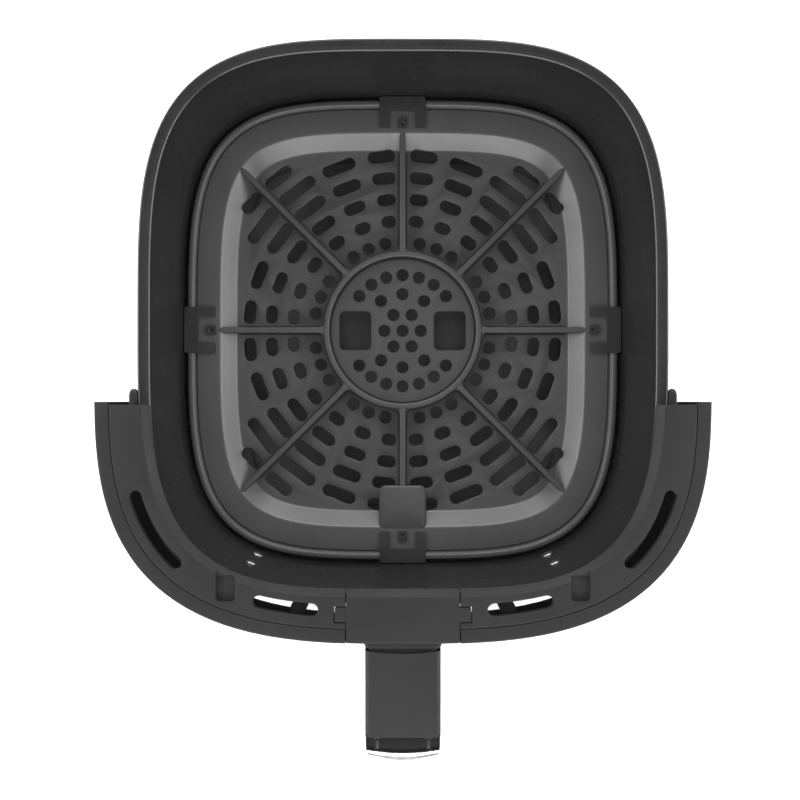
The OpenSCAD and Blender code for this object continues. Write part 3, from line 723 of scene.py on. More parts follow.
@dataclass(frozen=True)
class SparkedPlastic(Finish):
    """ABS moulded against a spark-eroded tool: an even, fine, matte grain that greys the black slightly,
    and rubs a little smoother in patches."""

    grain: float = 0.55
    depth: float = 0.00003
    shine: float = 0.33

    def surface(self, tree: Tree, place: Socket) -> dict[str, Any]:
        """Near-even colour, rubbed patches as roughness, and grain as bump."""
        skin = relief(tree, noise(tree, place, self.grain, 3.0, Roughness=0.6), self.depth, 0.5)
        return {"Base Color": self.tone(tree, place, 55.0), "Roughness": self.gloss(tree, place, 30.0, 0.05),
                "Normal": skin, "IOR": COAT_IOR, "Specular IOR Level": self.shine}


@dataclass(frozen=True)
class MouldedSilicone(Finish):
    """Moulded food-grade silicone: soft matte black with a bloom of fine dust in patches."""

    dust: float = 6.0

    def surface(self, tree: Tree, place: Socket) -> dict[str, Any]:
        """Dusty tone, rough surface with a light sheen, and a very fine skin as bump."""
        skin = relief(tree, noise(tree, place, 0.4), 0.00002, 0.4)
        return {"Base Color": self.tone(tree, place, self.dust, 0.4, 0.75, 6.0),
                "Roughness": self.gloss(tree, place, 9.0, 0.05), "Normal": skin, "IOR": 1.41,
                "Sheen Weight": 0.15, "Sheen Roughness": 0.5}


@dataclass(frozen=True)
class PolishedChrome(Finish):
    """Bright chrome plate: a clear mirror with faint wiping haze."""

    def surface(self, tree: Tree, place: Socket) -> dict[str, Any]:
        """Metal with a low roughness that wanders with the haze."""
        return {"Base Color": self.tone(tree, place, 25.0), "Metallic": 1.0,
                "Roughness": self.gloss(tree, place, 7.0, 0.03)}


@dataclass(frozen=True)
class WorkedSteel(Finish):
    """Steel with the marks of its making: brushed or turned lines along one direction."""

    line: float = 0.35
    stretch: tuple[float, float, float] = (0.03, 1.0, 1.0)
    swing: float = 0.08

    def surface(self, tree: Tree, place: Socket) -> dict[str, Any]:
        """Metal whose grain is noise stretched along the brushing, in its roughness and bump."""
        run = add_node(tree, "ShaderNodeMapping", {"Vector": place, "Scale": self.stretch}).outputs[0]
        lines = noise(tree, run, self.line)
        gloss = spread(tree, lines, (0.3, 0.7), (self.rough - self.swing, self.rough + self.swing))
        return {"Base Color": self.tone(tree, place, 12.0), "Metallic": 1.0, "Roughness": gloss,
                "Normal": relief(tree, lines, 0.00001, 0.4)}


@dataclass(frozen=True)
class StudioPaper(Finish):
    """Seamless white background of opal acrylic, lit softly from below like a light table."""

    glow: float = 0.2

    def surface(self, tree: Tree, place: Socket) -> dict[str, Any]:
        """White with a faint cloudiness and an even glow."""
        return {"Base Color": self.tone(tree, place, 3.0), "Roughness": self.gloss(tree, place, 5.0, 0.03),
                "Specular IOR Level": 0.1, "Emission Color": linear(self.colour),
                "Emission Strength": self.glow}


FINISHES: dict[str, Finish] = {
    "coated_steel": SprayedNonstick("sprayed_nonstick_on_steel", "#1a1a1a", "#171717", 0.3),
    "coated_plate": SprayedNonstick("sprayed_nonstick_on_aluminium", "#464646", "#414141", 0.35),
    "silicone": MouldedSilicone("moulded_black_silicone", "#292929", "#232323", 0.6),
    "moulding": SparkedPlastic("spark_grained_black_abs", "#1f1f1f", "#1c1c1c", 0.58, shine=0.27),
    "inner_moulding": SparkedPlastic("plain_black_pp", "#1c1c1c", "#191919", 0.5, grain=0.8),
    "handle_moulding": SparkedPlastic("fine_grained_handle_abs", "#212121", "#1f1f1f", 0.55, grain=0.5,
                                      shine=0.28),
    "chrome_trim": PolishedChrome("soft_chrome_plate", "#f6f6f7", "#ececee", 0.2),
    "steel": WorkedSteel("brushed_stainless_strap", "#b0b0b2", "#9c9c9f", 0.34),
    "rivet_steel": WorkedSteel("tumbled_stainless_rivet", "#a2a2a4", "#8c8c8f", 0.36,
                               stretch=(1.0, 1.0, 1.0)),
    "screw_steel": WorkedSteel("zinc_plated_screw_steel", "#b4b6ba", "#9ea0a6", 0.3, stretch=(1.0, 1.0, 0.2)),
}
# Painted shade: near-black plastic with almost no shine for the shell's inward faces, standing in for the
# shade seen through the vents.
INNER_FACES_PAINTED_SHADE = SparkedPlastic("matt_black_abs_inside", "#0c0c0c", "#0a0a0a", 0.8, grain=0.9, shine=0.02)
# Painted light: a much paler copy of the coat for the pot's floor, standing in for light that barely reaches
# the bottom of the pot.
POT_FLOOR_PAINTED_LIGHT = SprayedNonstick("washed_nonstick_on_pot_floor", "#727272", "#686868", 0.5)
# Painted shade: a darker, duller copy of the handle plastic for the end cap, offsetting the extra light that
# its tilt catches.
CAP_PAINTED_SHADE = SparkedPlastic("fine_grained_cap_abs", "#1c1c1c", "#1a1a1a", 0.75, grain=0.5, shine=0.1)
ROLLED = SprayedNonstick("sprayed_nonstick_on_rolled_edge", "#464646", "#414141", 0.2)
# Painted shade: a near-black copy of the coat for steep faces, standing in for the shadows along rib feet and
# in slots.
STEEP_FACES_PAINTED_SHADE = SprayedNonstick("thick_nonstick_in_corners", "#161616", "#141414", 0.45)
PAPER = StudioPaper("opal_acrylic_light_table", "#fafafa", "#f6f6f6", 0.7)


# ---- Shared outlines ----


@dataclass(frozen=True)
class Layout:
    """Outlines and heights that neighbouring pieces share."""

    mouth: Outline
    front: Outline
    rim_z: float
    collar_z: float
    collar_low: float
    plate_z: float
    arm_end: float
    rim_width: float = 0.007
    front_reach: float = 0.0266
    draft: float = math.radians(1.8)
    shell_lip: float = 0.007
    seam: float = 0.0005
    bridge_half: float = 0.0287

    @classmethod
    def from_frame(cls) -> "Layout":
        """Layout read from the CAD boxes: the pot's rim, the plate, the collar and its arms."""
        pot, plate, collar = (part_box(name)[1] for name in ("pot_shell", "crisper_plate", "collar_left"))
        bead, side_reach, thickness, centre = 0.001, 0.0274, 0.0046, -0.030
        mouth_power, front_power = 3.7, 2.95
        mouth = Outline(pot.x - cls.rim_width, pot.y - cls.rim_width, mouth_power)
        front = Outline(mouth.a + side_reach, mouth.b + cls.front_reach + centre, front_power, centre)
        return cls(mouth, front, pot.z, collar.z, collar.z - thickness, plate.z - bead, -collar.y)

    def wall(self, z: float) -> float:
        """Offset of the pot's inner wall from its mouth at a height: the draft's tangent times the depth."""
        return -(self.rim_z - z) * math.tan(self.draft)


LAYOUT = Layout.from_frame()


# ---- Pot ----


@dataclass
class Pot:
    """Deep-drawn pot with a turned-out rim, and its rivets; its strap is dressed with the fasteners."""

    sheet: float = 0.0012
    floor_radius: float = 0.016
    rim_lip: float = 0.004
    rim_corner: float = 0.0024
    rim_fall: float = 0.0003
    panel_in: float = 0.036
    panel_step: float = 0.0006
    rivet_x: float = 0.64
    rivet_drop: tuple[float, float] = (0.034, 0.060)
    rivet_radius: float = 0.0034
    rivet_height: float = 0.0014
    around: int = 260

    def build(self) -> None:
        """Makes the pot and its rivets."""
        self.shell()
        self.rivets()

    def shell(self) -> None:
        """Pot as rings of one section: up the outside, over the rolled rim, down the inside to the floor.

        The floor has a panel pressed up by less than the sheet, and the rim turns down at its edge.
        """
        lay, s = LAYOUT, self.sheet
        top, out = lay.rim_z, lay.rim_width
        foot, step, edge = lay.wall(0) + s, self.panel_step, top - self.rim_fall
        panel, ease, sweep = -self.panel_in, -self.panel_in + 0.0025, -self.panel_in + 0.004
        under = top - self.rim_corner
        section = rounded([
            (panel, step, 0), (ease, step, 0.001), (sweep, 0, 0.001), (foot, 0, self.floor_radius + s),
            (lay.wall(under) + s, under, 0.0014), (out - s, edge - s - 0.0004, 0.0007),
            (out - s, top - self.rim_lip, 0.0003), (out, top - self.rim_lip, 0.0004), (out, edge, 0.0013),
            (0, top, self.rim_corner), (lay.wall(s), s, self.floor_radius), (sweep, s, 0.001),
            (ease, s + step, 0.001), (panel, s + step, 0)], 8, closed=False)
        obj = piece("pot_shell_coated", Shape.tube(ring_loop(lay.mouth, section, self.around)), "drawer",
                    "coated_steel", ["pot_shell"])
        # The floor's flat, upward faces get painted light: a pale copy of the coat in place of the light that
        # barely reaches the bottom of the pot.
        repaint(obj.data, POT_FLOOR_PAINTED_LIGHT, lambda centre, normal: (centre[:, 2] < 0.003) & (normal[:, 2] > 0.9))

    def rivets(self) -> None:
        """Four rivets: domed head inside the wall, shank through it, and a flatter head outside the strap."""
        lay, r, h = LAYOUT, self.rivet_radius, self.rivet_height
        turn = np.linspace(0, QUARTER, 7)
        dome = np.column_stack([r * np.sin(turn), -0.0002 - h * np.cos(turn)])
        tail = np.array([(0.0024, -0.0002), (0.0024, 0.0032), (0.0034, 0.0032), (0.0031, 0.0042),
                         (0.002, 0.0047), (0.0, 0.0048)])
        profile = np.vstack([dome, tail])
        profile[0, 0] = profile[-1, 0] = TINY
        left = lay.mouth.at_x(lay.mouth.a * self.rivet_x)
        shapes = []
        for side in Side:
            angle = left if side is Side.LEFT else math.pi - left
            for drop in self.rivet_drop:
                z = lay.rim_z - drop
                p = lay.mouth.moved(angle, lay.wall(z))
                shapes.append(lathe(profile, (*p, z), 32, (*lay.mouth.normal(angle), 0)))
        piece("pot_rivets_domed", Shape.joined(shapes), "drawer", "rivet_steel", ["pot_rivets"])


# ---- Crisper plate ----


@dataclass
class CrisperPlate:
    """Pressed plate: rolled edge, groove, flat band, slope, perforated floor, ribs and pad."""

    sheet: float = 0.0018
    gap: float = 0.0022
    bead_width: float = 0.0034
    bead_height: float = 0.001
    groove_width: float = 0.0022
    groove_depth: float = 0.0006
    band: float = 0.0186
    slope: float = 0.009
    drop: float = 0.008
    bend: float = 0.0028
    ring: float = 0.044
    rib: float = 0.0034
    rib_crown: float = 0.0009
    rib_taper: float = 0.0055
    rib_past: float = 0.002
    rib_fillet: float = 0.003
    crease_width: float = 0.0009
    crease_depth: float = 0.0009
    crease_short: float = 0.013
    hole: float = 0.00345
    slot: float = 0.0067
    row: float = 0.064
    pitch: float = 0.0127
    slot_angles: tuple[float, ...] = (7, 21.3, 36.9)
    slot_lengths: tuple[tuple[float, ...], ...] = (
        (0.0086, 0.0094, 0.0098), (0.0108, 0.0127, 0.015), (0.0136, 0.0168, 0.0202), (0.0159, 0.020, 0.0243))
    corner_slots: tuple[tuple[float, float], ...] = ((51, 0.0179), (40.4, 0.0145))
    finger_x: float = 0.0276
    finger: tuple[float, float] = (0.0182, 0.0224)
    pad: tuple[float, float] = (0.027, 0.025)
    lip: float = 0.0004
    around: int = 240

    @property
    def edge(self) -> float:
        """Offset of the plate's edge from the pot's mouth."""
        return -(LAYOUT.rim_z - LAYOUT.plate_z) * math.tan(LAYOUT.draft) - self.gap

    @property
    def floor_z(self) -> float:
        """Height of the perforated floor."""
        return LAYOUT.plate_z - self.drop

    @property
    def slope_top(self) -> float:
        """Offset of the slope's upper edge."""
        return self.edge - self.band

    def build(self) -> None:
        """Makes the plate: pan, then ribs added, then creases, holes and bumper notches cut."""
        ribs, fillets = Shape.joined(self.radial_ribs()), Shape.joined(self.fillets())
        cuts = [Shape.joined(shapes) for shapes in (self.creases(), self.holes(), self.notches())]
        obj = piece("crisper_plate_coated", self.pan(), "plate", "coated_plate", ["crisper_plate"],
                    add=[ribs, self.ring_rib(), self.pad_block(), fillets], cut=cuts, crease=math.radians(30))
        top = LAYOUT.plate_z
        repaint(obj.data, ROLLED, lambda centre, _: centre[:, 2] > top + 0.0002)
        # Steep faces below the plate's top, which are the rib sides and slot walls, get painted shade: a
        # darker copy of the coat in place of the shadow in these creases.
        repaint(obj.data, STEEP_FACES_PAINTED_SHADE,
                lambda centre, normal: (centre[:, 2] < top - 0.0008) & (np.abs(normal[:, 2]) < 0.35))

    def pan(self) -> Shape:
        """Plate without ribs: rings of one section, from the middle of the underside to that of the top."""
        z, s, e, low = LAYOUT.plate_z, self.sheet, self.edge, self.floor_z
        top, foot = self.slope_top, self.slope_top - self.slope
        inner = e - self.bead_width
        groove_z, groove_end = z - self.groove_depth, inner - self.groove_width
        section = rounded([
            (foot - 0.006, low - s, 0), (foot - s / 2, low - s, self.bend), (top - s / 2, z - s, self.bend),
            (inner, z - s, 0.001), (e - 0.0012, z - s - 0.002, 0.0008), (e, z - s - 0.002, 0.0008),
            (e, z + self.bead_height, 0.0015), (inner, z + self.bead_height, 0.0014),
            (inner - 0.0003, groove_z, 0.0005), (groove_end + 0.0004, groove_z, 0.0006),
            (groove_end, z, 0.0004),
            (top, z, self.bend), (foot, low, self.bend), (foot - 0.006, low, 0)], 6, closed=False)
        return Shape.tube(ring_loop(LAYOUT.mouth, section, self.around))

    def tip(self, angle: float) -> float:
        """Distance of a rib's tip from the middle: where its ray meets an outline at the slope's top."""
        a, b = LAYOUT.mouth.a + self.slope_top, LAYOUT.mouth.b + self.slope_top
        return float((abs(math.cos(angle) / a) ** 4 + abs(math.sin(angle) / b) ** 4) ** -0.25) + self.rib_past

    def rib_section(self) -> Array:
        """Section across a rib: upright sides and a crowned top, as (side, height) points."""
        half, r = self.rib / 2, self.rib_crown
        top, low = LAYOUT.plate_z, self.floor_z - self.sheet / 2
        return rounded([(-half, low, 0), (half, low, 0), (half, top, r), (-half, top, r)], 4)

    def radial_ribs(self) -> list[Shape]:
        """Eight ribs: the section carried out from the ring, and narrowed to a point by a half ellipse."""
        section, ribs = self.rib_section(), []
        for q in range(8):
            angle = q * math.pi / 4
            reach, taper = self.tip(angle), self.rib_taper
            u = np.concatenate([np.linspace(self.ring, reach - taper, 12),
                                reach - taper + taper * np.sin(np.linspace(0.12, 1.5, 9))])
            width = np.sqrt(np.clip(1 - (np.clip(u - reach + taper, 0, None) / taper) ** 2, 0.0004, 1))
            rows = sections([section * (w, 1) for w in width], u, 0)
            ribs.append(Shape.tube(turned(rows, angle)))
        return ribs

    def ring_rib(self) -> Shape:
        """Ring rib: the ribs' section turned about the middle, a hair higher than they are."""
        return Shape.hoop(self.rib_section() + (self.ring, 0.0001), 160)

    def fillets(self) -> list[Shape]:
        """Sixteen corners between ring and ribs, each bounded by a circle tangent to both."""
        w, big, centre, start, end = self.corner()
        arc = arc_between(centre, self.rib_fillet, start, end, 7)
        loop = np.vstack([arc, [[big - 0.001, centre[1]], [big - 0.0012, w - 0.001], [centre[0], w - 0.001]]])
        corner = Shape.slab(loop, self.floor_z - self.sheet / 2, LAYOUT.plate_z - 0.0006)
        flip = corner.at(lambda p: p * (1, -1, 1))
        return [half.at(lambda p, a=q * math.pi / 4: turned(p, a)) for q in range(8)
                for half in (corner, flip)]

    def corner(self) -> tuple[float, float, Array, Array, Array]:
        """Fillet between the ring and the rib along +X, which touches both.

        Returns:
            The rib's half width, the ring's outer radius, the fillet's centre, and the directions from
            it to the rib and to the ring.
        """
        w, f, big = self.rib / 2, self.rib_fillet, self.ring + self.rib / 2
        centre = np.array([math.sqrt((big + f) ** 2 - (w + f) ** 2), w + f])
        return w, big, centre, np.array([0.0, -1.0]), -centre / np.linalg.norm(centre)

    def pad_block(self) -> Shape:
        """Pad at the front rib's outer end, with rounded corners and a softly domed top edge."""
        front = LAYOUT.mouth.b + self.slope_top
        centre = (0.0, -(front - self.pad[1] / 2 + 0.001))
        heights = (self.floor_z - self.sheet / 2, LAYOUT.plate_z + 0.0002)
        return eased_block(centre, self.pad, heights, 0.0035, 0.001, 1.0)

    def creases(self) -> list[Shape]:
        """Narrow grooves at the foot of the ribs: round each sector's inner end, and inside the ring."""
        w, big, centre, start, end = self.corner()
        g, eighth = self.crease_width / 2, math.pi / 4
        low, past = self.floor_z - self.crease_depth, centre[0] + 0.002
        fillet = arc_between(centre, self.rib_fillet - g, start, end, 9)
        from_angle = math.atan2(fillet[-1, 1], fillet[-1, 0])
        arc = np.linspace(from_angle, eighth - from_angle, 16)[1:-1]
        ring_path = (big + g) * np.stack([np.cos(arc), np.sin(arc)], axis=1)
        mirror = turned(fillet[::-1] * (1, -1), eighth)
        cuts = []
        for angle in eighth * np.arange(8):
            ends = [self.tip(turn) - self.crease_short for turn in (angle, angle + eighth)]
            lead = np.stack([np.linspace(ends[0], past, 10), np.full(10, w + g)], axis=1)
            after = np.stack([np.linspace(past, ends[1], 10), np.full(10, -w - g)], axis=1)
            path = np.vstack([lead, fillet, ring_path, mirror, turned(after, eighth)])
            cuts.append(Shape.slab(stadium(turned(path, angle), g, 6), low, self.floor_z + 0.003))
        inside, top = self.ring - w, self.floor_z + 0.0015
        band = np.array([(inside - 2 * g, low), (inside + 0.0001, low), (inside + 0.0001, top),
                         (inside - 2 * g, top)])
        return cuts + [Shape.hoop(band, 120)]

    def on_floor(self, x: float, y: float) -> bool:
        """Whether a slot's middle lies on the floor and not on the slope."""
        reach = self.slope_top - self.slope
        a, b, power = LAYOUT.mouth.a + reach, LAYOUT.mouth.b + reach, 4.5
        return (abs(x / a) ** power + abs(y / b) ** power) ** (1 / power) < 0.992

    def slot_places(self) -> list[tuple[float, float, float]]:
        """Radius, angle and length of each slot, mirrored about both middle planes."""
        places = []
        for k, lengths in enumerate(self.slot_lengths):
            for base in range(4):
                for side in Side:
                    for angle, length in zip(self.slot_angles, lengths):
                        places.append((self.row + k * self.pitch, base * 90 + side.value * angle, length))
        for angle, length in self.corner_slots:
            for base in (0, 180):
                for side in Side:
                    places.append((self.row + 4 * self.pitch, base + side.value * angle, length))
        polar = [(r, math.radians(a), length) for r, a, length in places]
        return [p for p in polar if self.on_floor(p[0] * math.cos(p[1]), p[0] * math.sin(p[1]))]

    def hole_places(self) -> list[tuple[float, float]]:
        """Radius and angle in degrees of each round hole: a middle one, three rows and one outer row."""
        poles = (90, 270)
        return ([(0.0, 0)] + [(0.0106, i * 60) for i in range(6)]
                + [(0.0214, s + d) for s in poles for d in (-36, 0, 36)]
                + [(0.0324, s + i * 17.1) for s in poles for i in range(-3, 4)]
                + [(0.0514, q * 45 + 22.5 + d) for q in range(8) for d in (-11.25, 0, 11.25)])

    def holes(self) -> list[Shape]:
        """Cutters of the slots, round holes and finger holes, each with a rounded mouth."""
        past = 0.002
        low, top, cutters = self.floor_z - self.sheet - past, self.floor_z, []
        for r, a, length in self.slot_places():
            half = (length - self.slot) / 2
            path = turned(np.stack([np.full(5, r), np.linspace(-half, half, 5)], axis=1), a)
            cutters.append(well(lambda g, p=path: stadium(p, self.slot / 2 + g), low, top, self.lip))
        for r, degrees in self.hole_places():
            a = math.radians(degrees)
            centre = (r * math.cos(a), r * math.sin(a))
            cutters.append(well(lambda g, c=centre: disc(c, self.hole + g), low, top, self.lip))
        for x in (-self.finger_x, self.finger_x):
            cutters.append(well(lambda g, c=(x, 0.0): box_loop(c, np.array(self.finger) + 2 * g, 0.003 + g),
                                low, top, 0.0006))
        return cutters

    def notches(self) -> list[Shape]:
        """Notches in the rolled edge where the bumpers clip on, and the square holes for their studs."""
        clip = Bumpers()
        fit, depth = 0.0001, clip.band + 0.0001
        band = box_loop((0.0, depth / 2 - 0.001), (clip.length + fit, depth + 0.002), 0.0006)
        stud = box_loop((0.0, clip.reach - clip.stud / 2), (clip.stud + fit, clip.stud + fit), 0.0005)
        return [Shape.slab(clip.placed(edge, loop), LAYOUT.plate_z - 0.01, LAYOUT.plate_z + 0.01)
                for edge in Edge for loop in (band, stud)]


# ---- Bumpers ----


@dataclass
class Bumpers:
    """Four U-shaped silicone clips on the plate's edge."""

    length: float = 0.0265
    reach: float = 0.0183
    band: float = 0.0084
    arm: float = 0.006
    cover: float = 0.0016
    sheet: float = 0.0018
    skirt: float = 0.003
    stud: float = 0.0052
    gap: float = 0.0003
    ease: float = 0.0005

    def placed(self, edge: Edge, points: Array) -> Array:
        """Points given at the front wall of the pot, with y inwards, moved to one of the four edges."""
        half = LAYOUT.mouth.b if edge in (Edge.FRONT, Edge.REAR) else LAYOUT.mouth.a
        shifted = np.array(points, float)
        shifted[..., 1] -= half + LAYOUT.wall(LAYOUT.plate_z - 0.006) - self.gap
        return turned(shifted, edge.value * QUARTER)

    def build(self) -> None:
        """Makes the four clips."""
        for edge in Edge:
            name = f"bumper_{edge.name.lower()}"
            body, arms, hollows = self.parts()
            change = lambda p, e=edge: self.placed(e, p)
            piece(f"{name}_silicone", body.at(change), "plate", "silicone", [name],
                  add=[arm.at(change) for arm in arms], cut=[hollow.at(change) for hollow in hollows],
                  bevel=self.ease)

    def parts(self) -> tuple[Shape, list[Shape], list[Shape]]:
        """Clip at the front wall: its band, its arms with the studded tongue, and the hollows cut in it."""
        z, low, fit = LAYOUT.plate_z, LAYOUT.plate_z - self.sheet, 0.00005
        half, top = self.length / 2, z + self.cover
        wide, stud = self.length - 2 * self.arm, self.stud
        under, shallow, tip_y = low - self.cover, low - fit, self.reach - stud / 2
        body = Shape.slab(box_loop((0, self.band / 2), (self.length, self.band), 0.0014),
                          under - self.skirt, top)
        arm_y = (self.band - 0.002 + self.reach) / 2
        size = (self.arm, self.reach - self.band + 0.002)
        arms = [Shape.slab(box_loop((x, arm_y), size, 0.0012), *heights)
                for heights in ((z + fit, top), (under, shallow))
                for x in (-half + self.arm / 2, half - self.arm / 2)]
        arms.append(Shape.slab(box_loop((0, arm_y), (stud, size[1]), 0.0006), under, shallow))
        arms.append(Shape.slab(box_loop((0, tip_y), (stud, stud), 0.0005), under, top))
        window = Shape.slab(box_loop((0, self.band / 2 + 0.005), (wide, self.band + 0.004), 0.0008),
                            under - self.skirt - 0.001, under + 0.00001)
        dimple = Shape.slab(box_loop((0, tip_y), (0.0017, 0.0017), 0.0003), top - 0.0007, top + 0.001)
        return body, arms, [window, dimple]


# ---- Collar ----


@dataclass
class Collar:
    """Top bracket round the front half of the pot, in two halves with vents and latch pockets."""

    slope: float = 0.0042
    start_rise: float = 0.001
    vent: float = 0.0064
    long_in: float = 0.0153
    long_run: tuple[float, float] = (199.5, 223.6)
    short_in: float = 0.016
    short_x: tuple[float, float] = (0.0474, 0.0762)
    latch_x: float = 0.0895
    latch: tuple[float, float] = (0.0096, 0.013)
    latch_depth: float = 0.0024
    latch_step: float = 0.0021
    latch_reach: float = 0.024
    ramp_depth: float = 0.0009
    boss_radius: float = 0.004
    boss_height: float = 0.022
    boss_run: tuple[float, ...] = (185.5, 238, 257.5)
    boss_in: tuple[float, ...] = (0.0122, 0.0122, 0.0148)
    tab: tuple[float, float] = (0.0062, 0.0074)
    stations: int = 150

    def build(self) -> None:
        """Makes both halves."""
        plate, posts, cuts = self.plate(), Shape.joined(self.bosses()), self.cuts()
        for side in Side:
            name = f"collar_{side.name.lower()}"
            piece(f"{name}_moulded", side.turn(plate), "drawer", "moulding", [name],
                  add=[side.turn(posts)], cut=[side.turn(c) for c in cuts])

    def plate(self) -> Shape:
        """Collar half: at each station a section runs from the pot's rim to the front's lip.

        The section rises along a slope to a soft ridge, runs level, and turns down over a rounded edge.
        """
        lay, n = LAYOUT, self.stations
        s = np.linspace(0, 1, n)
        end = lay.bridge_half + lay.seam
        inner_angle, outer_angle = (line.even(line.at_y(-lay.arm_end), line.at_x(end), n)
                                    for line in (lay.mouth, lay.front))
        inner = lay.mouth.moved(inner_angle, 0.0004 - 0.0014 * s)
        outer = lay.front.moved(outer_angle, np.full(n, -lay.shell_lip - lay.seam / 2))
        length = np.linalg.norm(outer - inner, axis=1)
        low, top = lay.collar_low, lay.collar_z
        rows = []
        for k in range(n):
            u = (outer[k] - inner[k]) / length[k]
            section = rounded([(0, low, 0.0004), (length[k], low, 0.0004), (length[k], top, 0.0007),
                               (self.slope, top, 0.0016), (0, low + self.start_rise, 0.0005)], 4)
            rows.append(np.column_stack([inner[k] + section[:, :1] * u, section[:, 1]]))
        return Shape.tube(np.stack(rows))

    def places(self) -> list[Array]:
        """Middles of the screw posts of the left half."""
        front = LAYOUT.front
        return [front.moved(front.from_parameter(t), -d) for t, d in zip(self.boss_run, self.boss_in)]

    def bosses(self) -> list[Shape]:
        """Round screw posts below the left half, with a blind bore."""
        low, top, bore = LAYOUT.collar_low - self.boss_height, LAYOUT.collar_low + 0.001, 0.00145
        ease, radius, end = 0.0003, self.boss_radius, low + 0.018
        profile = np.array([(TINY, end), (bore, end), (bore, low + ease), (bore + ease, low),
                            (radius - ease, low), (radius, low + 0.0004), (radius, top), (TINY, top)])
        return [lathe(profile, (*p, 0), 32) for p in self.places()]

    def cuts(self) -> list[Shape]:
        """Vents, latch pocket and the notch for the bridge's tab, for the left half."""
        lay, front, x = LAYOUT, LAYOUT.front, -self.latch_x
        low, top = lay.collar_low - 0.002, lay.collar_z
        runs = [(self.long_in, *(front.from_parameter(t) for t in self.long_run)),
                (self.short_in, *(front.at_x(t) for t in self.short_x))]
        vents = []
        for depth, start, end in runs:
            path = front.moved(front.even(start, end, 26), np.full(26, -depth))
            vents.append(well(lambda g, p=path: stadium(p, self.vent / 2 + g, 10), low, top, 0.0005))
        pocket_y = -(lay.mouth.b + 0.005) + self.latch[1] / 2
        pocket = well(lambda g: box_loop((x, pocket_y), np.array(self.latch) + 2 * g, 0.002 + g),
                      top - self.latch_depth, top, 0.0003)
        ramp_y = pocket_y + self.latch[1] / 2 - self.latch_step + self.latch_reach / 2
        ramp_size = np.array([self.latch[0], self.latch_reach])
        ramp = well(lambda g: box_loop((x, ramp_y), ramp_size + 2 * g, 0.0006),
                    top - self.ramp_depth, top, 0.0003)
        tab_x, tab_y = 0.01 - lay.bridge_half - self.tab[0], Bridge().tab_y
        tab_size = np.array([0.02, self.tab[1] + 2 * lay.seam])
        notch = well(lambda g: box_loop((tab_x, tab_y), tab_size + 2 * g, 0.0006), low, top, 0.0003)
        return [Shape.joined(vents), pocket, ramp, notch]


# ---- Rim carriers ----


@dataclass
class RimCarriers:
    """Mouldings below the collar that hold the pot's rim and end in pointed guide tongues."""

    wall: tuple[float, float] = (0.0094, 0.0116)
    shelf: float = 0.0024
    shelf_in: float = 0.0024
    start: float = 0.0428
    end: float = 234
    screw_run: tuple[float, float] = (195, 229)
    post: float = 0.0032
    tongue: tuple[float, float] = (0.0042, 0.0083)

    def build(self) -> None:
        """Makes both carriers."""
        rail, tongue, posts = self.rail(), self.guide(), Shape.joined(self.posts())
        for side in Side:
            name = f"rim_carrier_{side.name.lower()}"
            piece(f"{name}_moulded", side.turn(rail), "drawer", "inner_moulding", [name],
                  add=[side.turn(tongue), side.turn(posts)], bevel=0.0003)

    def heights(self) -> tuple[float, float]:
        """Height of the shelf below the rim's lip, and of the carrier's top below the collar."""
        return LAYOUT.rim_z - 0.0041, LAYOUT.collar_low - 0.0001

    def rail(self) -> Shape:
        """Carrier rail: an upright wall with a shelf under the rim's lip, carried along the mouth."""
        shelf, top = self.heights()
        foot, (near, far) = shelf - self.shelf, self.wall
        section = np.array([(self.shelf_in, foot), (far, foot), (far, top), (near, top), (near, shelf),
                            (self.shelf_in, shelf)])
        mouth = LAYOUT.mouth
        angles = mouth.even(mouth.at_y(-self.start), mouth.from_parameter(self.end), 60)
        return Shape.tube(along(mouth, section, angles))

    def posts(self) -> list[Shape]:
        """Screw posts on the carrier's wall."""
        shelf, top = self.heights()
        mouth, middle = LAYOUT.mouth, sum(self.wall) / 2
        spots = [mouth.moved(mouth.from_parameter(t), middle) for t in self.screw_run]
        return [Shape.slab(disc(p, self.post, 32), shelf - self.shelf, top) for p in spots]

    def guide(self) -> Shape:
        """Pointed tongue beyond the collar's arm: a bar whose width falls by a quarter circle at its tip."""
        shelf, top = self.heights()
        foot, tip = shelf - self.shelf, 0.0035
        half, tall, middle = self.tongue[0] / 2, (top - foot) / 2 - 0.0006, (foot + top) / 2
        x = float(LAYOUT.mouth.at(LAYOUT.mouth.at_y(-self.start))[0]) - self.wall[1] + half
        turn = np.linspace(0, 1.45, 8)
        y = np.concatenate([[-self.start - 0.006], -self.start + self.tongue[1] - tip + tip * np.sin(turn)])
        share = np.concatenate([[1], np.cos(turn)])
        loop = box_loop((0, 0), (2 * half, 2 * tall), 0.0007, 3)
        loops = [loop * (k, 0.5 + 0.5 * k) + (x, middle) for k in share]
        return Shape.tube(sections(loops, y, 1))


# ---- Front shell ----


